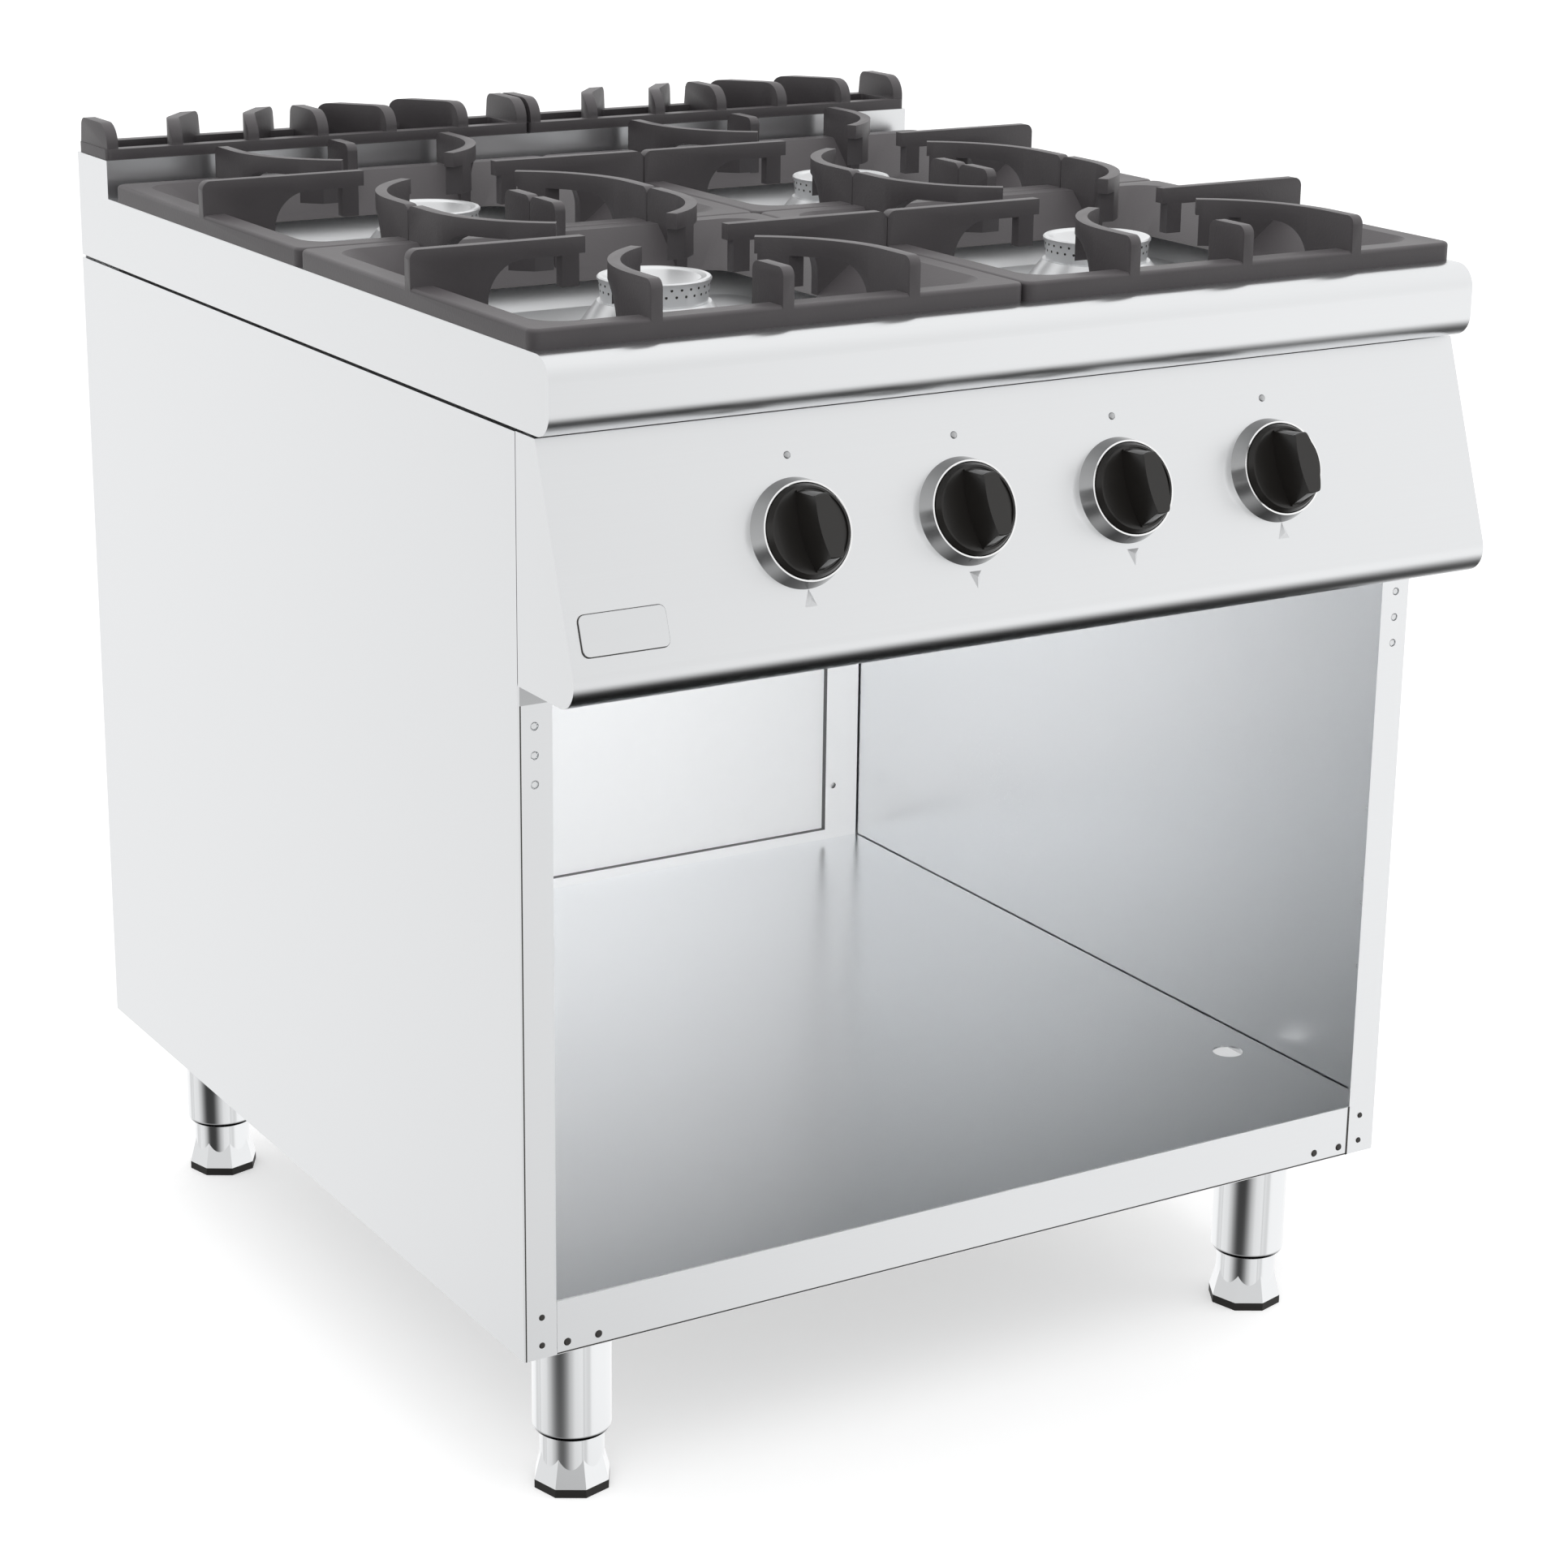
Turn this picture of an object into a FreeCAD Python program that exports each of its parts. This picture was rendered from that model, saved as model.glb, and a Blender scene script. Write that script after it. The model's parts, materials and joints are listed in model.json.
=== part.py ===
import FreeCAD, Part
import math
import os
import re
import Sketcher

# Four-burner gas range on legs, with an open cabinet below the burner box.
# All lengths are millimetres. X runs to the right, Y to the back, Z up from the floor.
# Pieces of the carcass are drawn with Y = 0 on the carcass front and then moved back
# together, so that the middle of the whole footprint lies on the origin.

SIZES = (
    ("width", 800.0, "width of carcass and hob"),
    ("carcass_depth", 818.0, "depth of the side panels"),
    ("hob_height", 900.0, "floor to hob plate"),
    ("leg_height", 147.0, "floor to underside of the carcass"),
    ("wall", 1.5, "carcass sheet thickness"),
    ("hob_sheet", 2.0, "hob and flue sheet thickness"),
    ("hob_front", 50.0, "hob nose, forward of the carcass front"),
    ("riser_depth", 68.0, "depth of the flue riser behind the hob"),
    ("hob_skirt", 56.0, "height of the hob edge"),
    ("hob_nose", 18.0, "radius of the rounded hob nose"),
    ("hob_lip_end", 2.0, "rear edge of the hob lip, forward of the carcass front"),
    ("side_gap", 2.5, "shadow gap between side panel and hob edge"),
    ("upstand_inset", 12.0, "upstand of the side panel, in from its outer face"),
    ("pan_front", 25.0, "front edge of the pan supports, forward of the carcass front"),
    ("pan_rear_gap", 15.0, "hob plate left free behind the pan supports"),
    ("pan_gap", 0.6, "gap between neighbouring pan supports"),
    ("seat_play", 2.0, "play of a pan support in the hob opening"),
    ("pan_corner", 9.0, "corner radius of a pan support"),
    ("rim_height", 14.5, "height of the pan support rim"),
    ("rim_flat", 18.0, "width of the flat rim"),
    ("rim_edge", 3.0, "rounding of the outer rim edge"),
    ("funnel_opening", 275.0, "clear opening at the foot of the funnel"),
    ("funnel_drop", 19.0, "foot of the funnel below the hob plate"),
    ("funnel_wall", 6.0, "casting thickness at the foot of the funnel"),
    ("shoulder_thick", 8.0, "casting thickness at the shoulder of the funnel"),
    ("funnel_round", 26.0, "corner radius at the top of the funnel"),
    ("funnel_foot_round", 20.0, "corner radius at the foot of the funnel"),
    ("finger_top", 41.0, "finger top above the hob plate"),
    ("finger_thick", 9.0, "thickness of a finger"),
    ("finger_nose", 7.0, "rounding of the outer top corner of a finger"),
    ("finger_tip", 12.0, "height of the free finger tip"),
    ("finger_overhang", 5.0, "free tip beyond the leg of a finger"),
    ("finger_leg", 14.0, "width of the leg of a finger"),
    ("finger_leg_foot", 5.0, "foot of the finger leg above the hob plate"),
    ("finger_bite", 1.0, "foot of a finger, let into the funnel wall"),
    ("arch_radius", 30.0, "radius of the arch under a finger"),
    ("arch_ceiling", 28.0, "ceiling of the arch above the hob plate"),
    ("finger_inner", 59.7, "tips of the straight side fingers from the burner axis"),
    ("curl_root", 104.0, "root of the curved fingers, from the support middle"),
    ("curl_straight", 33.0, "straight run before a finger curves"),
    ("curl_radius", 110.0, "radius of the curved fingers in plan"),
    ("curl_end", 6.0, "straight run at the tip of a curved finger"),
    ("curl_angle", 57.0, "turn of the curved fingers in degrees"),
    ("short_finger_reach", 42.0, "reach of the short middle fingers"),
    ("short_finger_drop", 12.5, "foot of the short fingers below the hob plate"),
    ("well_land_x", 24.0, "hob plate under the rim of a pan support, at the sides"),
    ("well_land_y", 22.0, "hob plate under the rim of a pan support, front and rear"),
    ("well_round", 30.0, "corner radius of the opening"),
    ("well_slope_x", 26.0, "slope of the well walls at the sides"),
    ("well_slope_y", 28.0, "slope of the well walls, front and rear"),
    ("well_floor_round", 24.0, "corner radius of the well floor"),
    ("well_depth", 39.0, "well floor below the hob plate"),
    ("well_sheet", 1.2, "well sheet thickness"),
    ("well_flange", 9.0, "flange of the well under the hob plate"),
    ("flare_radius", 62.0, "foot radius of the flared burner base"),
    ("flare_edge", 3.0, "edge height of the flared burner base"),
    ("burner_seat_radius", 42.5, "outer radius of the seat for the cap"),
    ("burner_bowl_radius", 36.0, "inner radius of the seat for the cap"),
    ("burner_height", 28.0, "cap seat above the well floor"),
    ("bowl_depth", 8.0, "depth of the bowl rim below the cap seat"),
    ("throat_radius", 25.0, "outer radius of the burner throat"),
    ("throat_bore", 19.0, "bore radius of the burner throat"),
    ("throat_drop", 80.0, "throat foot below the well floor"),
    ("throat_gap", 3.0, "play of the throat in the well floor"),
    ("mixing_drop", 55.0, "mixing tube axis below the well floor"),
    ("mixing_mouth", 55.0, "front mixing tube mouths, back from the carcass front"),
    ("mixing_radius", 20.0, "outer radius of the mixing tube"),
    ("mixing_wall", 4.0, "wall of the mixing tube"),
    ("mouth_radius", 30.0, "outer radius of the mixing tube mouth"),
    ("mouth_length", 35.0, "length of the flared mouth"),
    ("cap_radius", 42.5, "radius of the burner cap at its lip"),
    ("cap_foot_radius", 39.75, "radius of the burner cap at its foot"),
    ("cap_height", 18.5, "height of the burner cap"),
    ("cap_lip", 2.5, "height of the lip of the cap"),
    ("cap_edge", 1.0, "chamfer and overhang of the lip of the cap"),
    ("cap_wall", 4.0, "wall of the burner cap"),
    ("cap_dish", 1.2, "depth of the dished cap top"),
    ("cap_plug_depth", 5.0, "depth of the collar that centres the cap"),
    ("cap_play", 0.5, "radial play of the collar in the burner base"),
    ("pilot_reach", 70.0, "pilot axis from the burner axis"),
    ("pilot_angle", 35.0, "pilot direction in degrees behind the X axis"),
    ("pilot_radius", 4.0, "radius of the pilot tube"),
    ("pilot_hood_radius", 6.0, "radius of the pilot head"),
    ("pilot_height", 26.0, "pilot head above the well floor"),
    ("pilot_hood_height", 9.0, "height of the pilot head"),
    ("pilot_tail", 40.0, "pilot tube below the well floor"),
    ("pilot_collar", 8.0, "radius of the pilot collar on the well floor"),
    ("pilot_collar_height", 2.0, "height of the pilot collar"),
    ("pilot_play", 0.5, "radial play of the pilot in the well floor"),
    ("riser_top", 32.0, "top of the flue riser above the hob plate"),
    ("riser_flange", 10.0, "inward flange on top of the flue riser"),
    ("grid_gap", 2.0, "gap between the two flue grids"),
    ("grid_clear", 2.0, "flue riser deeper than a flue grid"),
    ("grid_bar", 12.0, "width of the base bars of a flue grid"),
    ("grid_bar_height", 9.0, "height of the base bars"),
    ("grid_corner", 5.0, "corner radius of a flue grid"),
    ("fin_height", 30.0, "fin top above the riser"),
    ("fin_thick", 10.0, "thickness of a fin"),
    ("fin_inset", 1.5, "fin ends, in from the grid edge"),
    ("fin_front_round", 18.0, "rounding of the front top corner of a fin"),
    ("fin_rear_round", 8.0, "rounding of the rear top corner of a fin"),
    ("fin_rear_lean", 4.0, "slope of the rear edge of a fin"),
    ("fin_inner_share", 0.327, "inner curved fins, as a share of half the grid"),
    ("fin_outer_share", 0.678, "outer curved fins, as a share of half the grid"),
    ("fin_end_inset", 6.0, "middle of the end fins, in from the grid end"),
    ("fin_sweep", 40.0, "sideways sweep of the curved fins"),
    ("fin_straight", 16.0, "straight front run of the curved fins"),
    ("fin_bend", 40.0, "bend radius of the curved fins"),
    ("panel_gap", 2.0, "gap between hob edge and control panel"),
    ("panel_seam", 0.8, "gap between control panel and side panels"),
    ("panel_height", 179.0, "height of the control panel"),
    ("panel_top_forward", 29.0, "upper edge of the panel, forward of the carcass"),
    ("panel_foot_forward", 91.0, "lower edge of the panel, forward of the carcass"),
    ("panel_nose", 20.0, "radius of the lower panel edge"),
    ("knob_down", 85.6, "knob axis below the upper panel edge, along the panel"),
    ("knob_pitch", 139.0, "knob spacing across"),
    ("panel_hole_play", 1.5, "play of the spindle in the panel"),
    ("bezel_radius", 39.3, "foot radius of the knob bezel"),
    ("bezel_rim_radius", 35.4, "rim radius of the knob bezel"),
    ("bezel_height", 12.5, "height of the knob bezel"),
    ("bezel_sheet", 1.2, "sheet thickness of the knob bezel"),
    ("bezel_hole", 12.0, "hole in the floor of the bezel"),
    ("knob_play", 0.8, "radial gap between knob and bezel rim"),
    ("knob_back", 8.0, "rear edge of the knob above the panel"),
    ("knob_shoulder", 13.0, "top of the straight knob skirt above the panel"),
    ("disc_top", 17.0, "top of the low knob disc above the panel"),
    ("disc_radius", 31.0, "radius of the low knob disc at its top"),
    ("disc_rim", 1.5, "width of the rim round the sunk face of the disc"),
    ("disc_dish", 1.5, "depth of the sunk face of the disc"),
    ("knob_face", 43.0, "front of the grip bar above the panel"),
    ("knob_face_radius", 23.0, "half length of the grip bar at its front"),
    ("knob_edge", 2.0, "rounding of the ends of the grip bar"),
    ("grip_foot", 28.5, "half length of the grip bar at the disc"),
    ("grip_thick", 17.0, "thickness of the grip bar at its middle"),
    ("grip_bow_left", 90.0, "radius of the left flank of the grip bar"),
    ("grip_bow_right", 60.0, "radius of the right flank of the grip bar"),
    ("grip_tilt", 6.0, "tilt of the grip bar in degrees"),
    ("knob_bore_depth", 12.0, "depth of the spindle bore in the knob"),
    ("spindle_radius", 4.0, "radius of the tap spindle"),
    ("spindle_flat", 2.8, "flat on the spindle from its axis"),
    ("spindle_front", 14.0, "front end of the spindle above the panel"),
    ("spindle_tail", 38.0, "rear end of the spindle behind the panel"),
    ("running_play", 0.05, "radial play of the spindle in its bores"),
    ("tap_neck_radius", 11.0, "radius of the tap neck"),
    ("tap_neck_end", 20.0, "rear end of the tap neck behind the panel"),
    ("tap_radius", 15.0, "radius of the tap body"),
    ("tap_end", 50.0, "rear end of the tap body behind the panel"),
    ("tap_tail_radius", 9.0, "radius of the tap outlet"),
    ("tap_tail_end", 58.0, "rear end of the tap outlet behind the panel"),
    ("tap_bore_end", 40.0, "rear end of the spindle bore behind the panel"),
    ("tap_stub_radius", 7.0, "radius of the tap inlet"),
    ("manifold_behind", 40.0, "manifold axis behind the panel"),
    ("manifold_below", 30.0, "manifold axis below the tap axis"),
    ("manifold_radius", 9.0, "outer radius of the manifold pipe"),
    ("manifold_bore", 7.0, "bore radius of the manifold pipe"),
    ("manifold_end", 31.5, "closed end of the manifold beyond the last tap"),
    ("manifold_bend", 32.0, "bend radius of the manifold"),
    ("inlet_inset", 55.0, "inlet axis, in from the right side of the carcass"),
    ("inlet_radius", 10.5, "outer radius of the inlet nipple"),
    ("inlet_length", 32.0, "length of the inlet nipple"),
    ("inlet_hole_play", 2.5, "play of the inlet nipple in the back panel"),
    ("inlet_reach", 20.0, "inlet nipple behind the carcass"),
    ("tube_radius", 5.0, "radius of the burner supply tubes"),
    ("tube_bend", 16.0, "bend radius of the supply tubes"),
    ("tube_lead", 34.0, "first straight run of a supply tube"),
    ("tube_mouth_gap", 5.0, "supply tube end to the mixing tube mouth"),
    ("tube_last_run", 30.0, "last straight run of a supply tube"),
    ("box_floor_gap", 1.0, "underside of the burner box floor below the panel edge"),
    ("box_flange", 14.0, "front flange of the burner box floor"),
    ("upright_width", 27.0, "width of the front uprights"),
    ("upright_return", 31.0, "depth of the upright return along the side panel"),
    ("upright_hole", 3.2, "radius of the holes in the uprights"),
    ("upright_hole_x", 13.0, "holes in the uprights, in from the outer face"),
    ("upright_hole_top", 16.0, "first hole below the top of the upright"),
    ("upright_hole_pitch", 21.3, "spacing of the holes in the uprights"),
    ("rail_height", 43.0, "height of the front bottom rail"),
    ("rail_return", 18.0, "depth of the rail return"),
    ("rail_gap", 0.5, "gap between rail and upright"),
    ("floor_lip", 18.0, "side lips of the cabinet floor"),
    ("floor_hole_inset", 39.0, "hole in the cabinet floor, in from the right side"),
    ("floor_hole_y", 148.0, "hole in the cabinet floor, back from the carcass front"),
    ("floor_hole_radius", 13.0, "radius of the hole in the cabinet floor"),
    ("frame_back", 10.0, "front of the rear frame, forward of the carcass back"),
    ("frame_side", 37.0, "width of the rear frame sides"),
    ("frame_foot", 10.0, "height of the lower rear frame member"),
    ("frame_head", 22.0, "height of the upper rear frame member"),
    ("frame_hole_radius", 3.0, "radius of the holes in the rear frame"),
    ("frame_hole_inset", 28.0, "holes in the rear frame, in from its sides"),
    ("frame_hole_rise", 56.0, "holes in the rear frame above the cabinet floor"),
    ("rear_flange", 22.0, "rear flange of the side panels"),
    ("back_top_gap", 4.0, "back panel below the top of the flue riser"),
    ("channel_inset", 54.0, "outer side of a base channel, in from the carcass side"),
    ("channel_width", 56.0, "width of a base channel"),
    ("channel_sheet", 2.5, "base channel thickness"),
    ("channel_front", 22.0, "front end of the base channels"),
    ("channel_rear_gap", 6.0, "rear end of the base channels, forward of the carcass back"),
    ("leg_inset", 74.0, "leg axis, in from the carcass side"),
    ("leg_front_y", 66.0, "front leg axis, back from the carcass front"),
    ("leg_rear_inset", 62.0, "rear leg axis, forward of the carcass back"),
    ("leg_radius", 30.5, "outer radius of a leg tube"),
    ("leg_foot_z", 47.0, "lower end of a leg tube above the floor"),
    ("leg_edge", 5.0, "rounding of the lower leg edge"),
    ("leg_roof", 4.0, "thickness of the leg top"),
    ("foot_neck_radius", 25.0, "radius of the foot neck inside the leg"),
    ("foot_bore", 21.0, "radius of the hollow in the foot neck"),
    ("foot_floor", 8.0, "floor of the hollow above the top of the foot"),
    ("foot_play", 0.3, "radial play of the foot neck in the leg"),
    ("foot_top_flats", 46.0, "width over flats where the foot runs out into its neck"),
    ("foot_flats", 57.0, "width over flats of a foot at its pad"),
    ("foot_step", 45.0, "angle between the flats of a foot in degrees"),
    ("foot_turn", 15.0, "turn of the feet in degrees"),
    ("foot_top_z", 30.0, "top of the eight-sided flare above the floor"),
    ("pad_height", 7.0, "height of a foot pad"),
)

# Sizes that follow from the ones above.
FORMULAS = (
    ("half_width", "width / 2"),
    ("inner_x", "half_width - wall"),
    ("bay_x", "half_width - 2 * wall"),
    ("hob_rear", "carcass_depth - riser_depth"),
    ("side_top", "hob_height - hob_skirt - side_gap"),
    ("riser_foot", "hob_height - hob_skirt"),
    ("panel_top_z", "hob_height - hob_skirt - panel_gap"),
    ("panel_foot_z", "panel_top_z - panel_height"),
    ("box_floor_z", "panel_foot_z - box_floor_gap"),
    ("panel_run", "panel_foot_forward - panel_top_forward"),
    ("panel_fall", "panel_top_z - panel_foot_z"),
    ("panel_lean", "atan(panel_run / panel_fall) / 1 deg"),
    ("lean_sin", "sin(panel_lean)"),
    ("lean_cos", "cos(panel_lean)"),
    ("knob_y", "-panel_top_forward - knob_down * lean_sin"),
    ("knob_z", "panel_top_z - knob_down * lean_cos"),
    ("knob_rim_y", "knob_y - (knob_face - knob_edge) * lean_cos"),
    ("front_y", "knob_rim_y - (knob_face_radius - knob_edge) * lean_sin - knob_edge"),
    ("inlet_y", "carcass_depth + inlet_reach"),
    ("shift_y", "-(inlet_y + front_y) / 2"),
    ("knob_inner_x", "knob_pitch / 2"),
    ("knob_outer_x", "3 * knob_inner_x"),
    ("pan_pitch_x", "half_width"),
    ("pan_pitch_y", "(hob_rear + pan_front - pan_rear_gap) / 2"),
    ("burner_x", "pan_pitch_x / 2"),
    ("burner_front_y", "pan_pitch_y / 2 - pan_front"),
    ("burner_rear_y", "burner_front_y + pan_pitch_y"),
    ("pan_half_x", "(pan_pitch_x - pan_gap) / 2"),
    ("pan_half_y", "(pan_pitch_y - pan_gap) / 2"),
    ("well_opening_x", "pan_pitch_x - 2 * well_land_x"),
    ("well_opening_y", "pan_pitch_y - 2 * well_land_y"),
    ("well_floor_x", "well_opening_x - 2 * well_slope_x"),
    ("well_floor_y", "well_opening_y - 2 * well_slope_y"),
    ("side_finger_reach", "pan_half_x - finger_inner"),
    ("funnel_half", "funnel_opening / 2"),
    ("funnel_fall", "rim_height + funnel_drop"),
    ("funnel_run_x", "pan_half_x - rim_flat - funnel_half"),
    ("funnel_run_y", "pan_half_y - rim_flat - funnel_half"),
    ("well_z", "hob_height - well_depth"),
    ("riser_z", "hob_height + riser_top"),
    ("grid_half", "(half_width - grid_gap) / 2"),
    ("grid_depth", "riser_depth - grid_clear"),
    ("fin_inner", "grid_half * fin_inner_share"),
    ("fin_outer", "grid_half * fin_outer_share"),
    ("fin_end", "grid_half - fin_end_inset"),
    ("back_y", "carcass_depth - hob_sheet - wall"),
    ("upright_top", "box_floor_z - box_flange"),
    ("mixing_z", "well_z - mixing_drop"),
    ("mixing_length", "burner_front_y - mixing_mouth"),
    ("tube_start_y", "knob_y + tap_tail_end * lean_cos"),
    ("tube_start_z", "knob_z - tap_tail_end * lean_sin"),
    ("tube_turn_y", "tube_start_y + tube_lead * lean_cos"),
    ("tube_turn_z", "tube_start_z - tube_lead * lean_sin"),
    ("cabinet_floor_z", "leg_height + rail_height"),
    ("floor_hole_x", "half_width - floor_hole_inset"),
    ("frame_front_y", "carcass_depth - frame_back"),
    ("frame_hole_x", "bay_x - frame_hole_inset"),
    ("frame_hole_z", "cabinet_floor_z + frame_hole_rise"),
    ("channel_outer", "half_width - channel_inset"),
    ("channel_inner", "channel_outer - channel_width"),
    ("channel_rear", "carcass_depth - channel_rear_gap"),
    ("leg_x", "half_width - leg_inset"),
    ("leg_rear_y", "carcass_depth - leg_rear_inset"),
    ("knob_radius", "bezel_rim_radius - bezel_sheet - knob_play"),
    ("manifold_y", "knob_y + manifold_behind * lean_cos - manifold_below * lean_sin"),
    ("manifold_z", "knob_z - manifold_behind * lean_sin - manifold_below * lean_cos"),
    ("manifold_left", "knob_outer_x + manifold_end"),
    ("manifold_right", "half_width - inlet_inset"),
)

doc = FreeCAD.newDocument("gas_range")
sheet = doc.addObject("Spreadsheet::Sheet", "sizes")
for line, (name, size, note) in enumerate(SIZES, start=1):
    sheet.set(f"A{line}", note)
    sheet.set(f"B{line}", str(size))
    sheet.setAlias(f"B{line}", name)
for line, (name, rule) in enumerate(FORMULAS, start=len(SIZES) + 1):
    sheet.set(f"B{line}", "=" + rule)
    sheet.setAlias(f"B{line}", name)
doc.recompute()
probe = doc.addObject("Spreadsheet::Sheet", "probe")
NAMES = {entry[0] for entry in SIZES + FORMULAS}
NODES = []


def bound(rule):
    """Write a rule in size names as an expression on the sheet of sizes."""
    return re.sub(
        r"[a-z_][a-z_0-9]*",
        lambda found: "sizes." + found[0] if found[0] in NAMES else found[0],
        str(rule),
    )


def number(rule):
    """Present value of a rule in size names."""
    probe.set("A1", "=" + bound(rule))
    probe.recompute()
    return float(probe.get("A1"))


def drive(thing, **rules):
    """Bind properties of a document object to rules in size names."""
    for prop, rule in rules.items():
        thing.setExpression(prop, bound(rule))


def node(thing, label, x="0", y="0", z="0", tilt=None):
    """Name a finished piece, move it to its place and list it for writing out."""
    thing.Label = label
    place(thing, x, f"{y} + shift_y", z, tilt)
    NODES.append(thing)
    return thing


def place(thing, x="0", y="0", z="0", tilt=None, axis=(1, 0, 0)):
    """Put a piece at a point, turned by an angle in degrees about an axis."""
    if tilt is not None:
        turn = FreeCAD.Rotation(FreeCAD.Vector(*axis), number(tilt))
        thing.Placement = FreeCAD.Placement(FreeCAD.Vector(), turn)
        thing.setExpression("Placement.Rotation.Angle", bound(tilt))
    for letter, rule in zip("xyz", (x, y, z)):
        thing.setExpression(f"Placement.Base.{letter}", bound(rule))


def on_panel(thing, label, x):
    """Place a piece drawn on the control panel face at a knob axis."""
    return node(thing, label, x, "knob_y", "knob_z", "90 - panel_lean")


def sketch_in(body, role, lift=None):
    """Sketch on an origin plane of a body, lifted along the plane normal."""
    sketch = body.newObject("Sketcher::SketchObject", "outline")
    plane = next(item for item in body.Origin.OriginFeatures if item.Role == role)
    sketch.AttachmentSupport = (plane, [""])
    sketch.MapMode = "FlatFace"
    if lift is not None:
        sketch.setExpression("AttachmentOffset.Base.z", bound(lift))
    return sketch


def fix_point(sketch, item, end, x, y):
    """Hold a sketch point at a place given by two rules."""
    for kind, rule in (("DistanceX", x), ("DistanceY", y)):
        mark = sketch.addConstraint(
            Sketcher.Constraint(kind, -1, 1, item, end, number(rule))
        )
        sketch.setExpression(f"Constraints[{mark}]", bound(rule))


def draw_circle(sketch, x, y, radius):
    """Full circle with a driven middle and radius."""
    middle = FreeCAD.Vector(number(x), number(y), 0)
    up = FreeCAD.Vector(0, 0, 1)
    item = sketch.addGeometry(Part.Circle(middle, up, number(radius)))
    fix_point(sketch, item, 3, x, y)
    mark = sketch.addConstraint(Sketcher.Constraint("Radius", item, number(radius)))
    sketch.setExpression(f"Constraints[{mark}]", bound(radius))


def draw_outline(sketch, corners):
    """Closed outline through corners; a third entry rounds a corner with that radius."""
    count = len(corners)
    spots = [FreeCAD.Vector(number(spot[0]), number(spot[1]), 0) for spot in corners]
    trims = []
    for i, spot in enumerate(corners):
        if len(spot) < 3:
            trims.append(0.0)
            continue
        back = spots[i - 1] - spots[i]
        ahead = spots[(i + 1) % count] - spots[i]
        trims.append(number(spot[2]) / math.tan(back.getAngle(ahead) / 2))
    lines = []
    for i in range(count):
        start, end = spots[i], spots[(i + 1) % count]
        way = (end - start).normalize()
        first = start + way * trims[i]
        last = end - way * trims[(i + 1) % count]
        lines.append(sketch.addGeometry(Part.LineSegment(first, last)))
    for i, spot in enumerate(corners):
        before, after = lines[i - 1], lines[i]
        if len(spot) < 3:
            sketch.addConstraint(Sketcher.Constraint("Coincident", before, 2, after, 1))
            fix_point(sketch, after, 1, spot[0], spot[1])
            continue
        round_corner(sketch, before, after, spots[i], spot)


def round_corner(sketch, before, after, corner, spot):
    """Tangent arc between two lines that meet at a corner point."""
    radius = number(spot[2])
    start = sketch.Geometry[before].EndPoint
    end = sketch.Geometry[after].StartPoint
    inward = ((start + end) * 0.5 - corner).normalize()
    half = (start - corner).getAngle(inward)
    middle = corner + inward * (radius / math.sin(half))
    left_turn = (start - middle).cross(end - middle).z > 0
    head, tail = (start, end) if left_turn else (end, start)
    angles = [math.atan2(p.y - middle.y, p.x - middle.x) for p in (head, tail)]
    circle = Part.Circle(middle, FreeCAD.Vector(0, 0, 1), radius)
    arc = sketch.addGeometry(Part.ArcOfCircle(circle, angles[0], angles[1]))
    meet_before, meet_after = (1, 2) if left_turn else (2, 1)
    sketch.addConstraint(Sketcher.Constraint("Tangent", before, 2, arc, meet_before))
    sketch.addConstraint(Sketcher.Constraint("Tangent", after, 1, arc, meet_after))
    mark = sketch.addConstraint(Sketcher.Constraint("Radius", arc, radius))
    sketch.setExpression(f"Constraints[{mark}]", bound(spot[2]))
    point = sketch.addGeometry(Part.Point(corner), True)
    fix_point(sketch, point, 1, spot[0], spot[1])
    sketch.addConstraint(Sketcher.Constraint("PointOnObject", point, 1, before))
    sketch.addConstraint(Sketcher.Constraint("PointOnObject", point, 1, after))


def box_corners(left, front, right, rear, radius=None):
    """Corners of a rectangle, rounded when a radius is given."""
    extra = () if radius is None else (radius,)
    pairs = ((left, front), (right, front), (right, rear), (left, rear))
    return [pair + extra for pair in pairs]


def middle_box(half_x, half_y, radius=None):
    """Corners of a rectangle round the origin."""
    return box_corners(f"-({half_x})", f"-({half_y})", half_x, half_y, radius)


def new_body():
    """Empty body for a piece."""
    return doc.addObject("PartDesign::Body", "piece")


def grow(body, kind, sketch, **rules):
    """Add a pad or pocket on a sketch; the first size is its length."""
    feature = body.newObject(f"PartDesign::{kind}", kind.lower())
    feature.Profile = sketch
    drive(feature, **rules)
    doc.recompute([feature])
    return feature


def pad(body, role, outlines, length, lift=None, both=False, back=False):
    """Pad closed outlines drawn on an origin plane."""
    sketch = sketch_in(body, role, lift)
    for corners in outlines:
        draw_outline(sketch, corners)
    feature = grow(body, "Pad", sketch, Length=length)
    feature.SideType = "Symmetric" if both else "One side"
    feature.Reversed = back
    doc.recompute([feature])
    return feature


def pocket(body, role, outlines, length, lift=None, both=False, back=False):
    """Cut closed outlines drawn on an origin plane."""
    sketch = sketch_in(body, role, lift)
    for corners in outlines:
        draw_outline(sketch, corners)
    feature = grow(body, "Pocket", sketch, Length=length)
    feature.SideType = "Symmetric" if both else "One side"
    feature.Reversed = back
    doc.recompute([feature])
    return feature


def bore(body, role, circles, length, lift=None, back=False):
    """Cut round holes given as middle and radius."""
    sketch = sketch_in(body, role, lift)
    for circle in circles:
        draw_circle(sketch, *circle)
    feature = grow(body, "Pocket", sketch, Length=length)
    feature.Reversed = back
    doc.recompute([feature])
    return feature


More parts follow.
